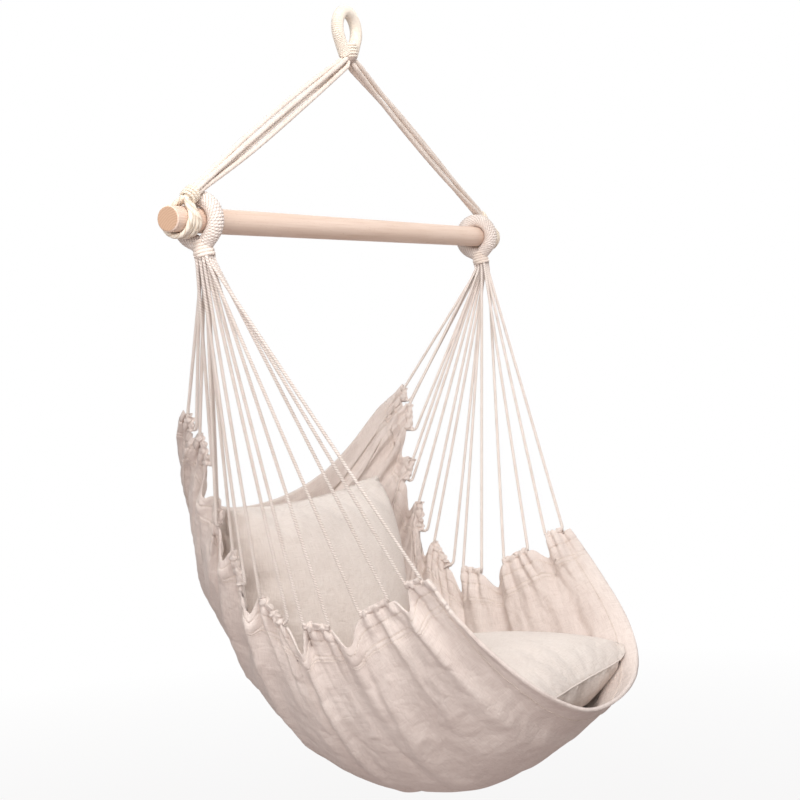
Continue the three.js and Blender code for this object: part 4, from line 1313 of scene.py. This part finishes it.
def fitted_cushion(verts, faces, solid, walls):
    """Fits a pillow to its solid's space, evened out between the steps so that no crease is left."""
    def pressed(points, proud):
        points = held_to(points, solid, proud)
        for wall, gap in walls:
            points = push_inside(points, wall, gap)
        return points

    plain = verts
    for passes in proud_passes:
        verts = plain + relaxed(pressed(verts, proud_limits[0]) - plain, faces, passes)
    return pressed(verts, proud_limits[1])


def settled(cushion, points):
    """From a pillow's own frame to its place on the canvas, turned about its front or its upper edge."""
    turned = (points + vec(0, cushion["pivot"] * cushion["length"] / 2, 0)) @ turn_about("X", cushion["tilt"]).T
    return turned + vec(*cushion["place"]) - vec(0, 0, bar_drop)


def make_cushion(name, walls):
    cushion = cushions[name]
    top, bottom = pillow(cushion["width"], cushion["length"], cushion["crown"])
    verts, faces = pillow_mesh(top, bottom)
    flat = verts[:, :2]
    rim = rim_of(np.arange(top[..., 0].size).reshape(top.shape[:2]).T)
    moved = simulated(f"{name}_run", verts, faces, rim, cushion_frames, cushion_growth,
                      cushion_pressure, weight=0.0)
    shift = moved - verts
    broad = relaxed(shift, faces, bulge_passes, rim)
    verts = verts + capped(shift - broad, fine_cap) + capped(broad, broad_cap)
    verts = fitted_cushion(settled(cushion, verts), faces, node_tree(name), walls)
    piece = mesh_object(name.replace("_cushion", "_pillow"), verts, faces, cushion_cloth, flat)
    lay_on(piece, name, "cushion_cloth", name)
    bead = Skin()
    bead.plain(softened(verts[np.append(rim, rim[0])], 1), seam_bead, 6)
    bead.make(name.replace("_cushion", "_seam"), cushion_cloth, name, "cushion_cloth")
    return search_tree(verts, faces)


# Studio

def area_light(name, place, aim, size, power):
    data = bpy.data.lights.new(name, "AREA")
    data.shape, data.size, data.energy = "DISK", size, power
    lamp = bpy.data.objects.new(name, data)
    lamp.location = place
    lamp.rotation_euler = (Vector(aim) - Vector(place)).to_track_quat("-Z", "Y").to_euler()
    bpy.context.scene.collection.objects.link(lamp)


def seen_rays(graph):
    """1 for the camera's rays and for those that a glossy or clear surface sends on, else 0."""
    path = graph.nodes.new("ShaderNodeLightPath").outputs
    seen = graph.math("MAXIMUM", path["Is Camera Ray"], path["Is Glossy Ray"])
    return graph.math("MAXIMUM", seen, path["Is Transmission Ray"])


def make_world():
    world = bpy.data.worlds.new("studio")
    bpy.context.scene.world = world
    graph = Graph(world)
    soft = graph.nodes["Background"]
    graph.feed(soft, {"Color": (1, 1, 1, 1), "Strength": world_strength})
    white = graph.add("Background", {"Color": (1, 1, 1, 1), "Strength": 1.0})
    both = graph.add("MixShader", {0: seen_rays(graph), 1: soft.outputs[0], 2: white})
    graph.feed(graph.nodes["World Output"], {"Surface": both})


def make_floor():
    """A plain pale floor that fades into the white backdrop and keeps the chair's shadow."""
    square = ((-1, -1), (1, -1), (1, 1), (-1, 1))
    corners = [(x * floor_reach, y * floor_reach, floor_height) for x, y in square]
    material = bpy.data.materials.new("studio_floor")
    graph = Graph(material)
    graph.nodes.remove(graph.nodes["Principled BSDF"])
    place = graph.nodes.new("ShaderNodeNewGeometry").outputs
    distance = graph.add("VectorMath", {0: place["Position"]}, "Value", operation="LENGTH")
    fade = graph.add("MapRange", {"Value": distance, **floor_fade}, "Result")
    seen = graph.math("MULTIPLY", seen_rays(graph), fade)
    matt = graph.add("BsdfDiffuse", {"Color": floor_colour})
    white = graph.add("Emission", {"Strength": 1.0})
    above = graph.add("MixShader", {0: seen, 1: matt, 2: white})
    clear = graph.add("BsdfTransparent", {})
    both = graph.add("MixShader", {0: place["Backfacing"], 1: above, 2: clear})
    graph.feed(graph.nodes["Material Output"], {"Surface": both})
    mesh_object("floor", corners, [[0, 1, 2, 3]], material)


def make_studio():
    make_world()
    make_floor()
    for lamp in lamps:
        area_light(*lamp)


# The chair

make_camera()
make_seat_cords()
make_eye()
for side_name, side in sides:
    make_harness(side_name, side)
    make_ring(side_name, side)
canvas_piece, canvas_grid, trimmings = make_canvas()
canvas_wall = (search_tree(canvas_grid.reshape(-1, 3), grid_faces(*canvas_grid.shape[:2])), cushion_gap)
back_tree = make_cushion("back_cushion", [canvas_wall])
make_cushion("seat_cushion", [canvas_wall, (back_tree, cushions_apart)])
for name, finish in (("spreader_bar", beech_material()), ("hanging_eye", cotton_cord),
                     ("side_ring_left", cotton_cord), ("side_ring_right", cotton_cord)):
    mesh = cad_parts[name].data
    mesh.materials.clear()
    mesh.materials.append(finish)
    smooth(mesh)
make_studio()
bpy.context.scene.view_settings.view_transform = "Standard"
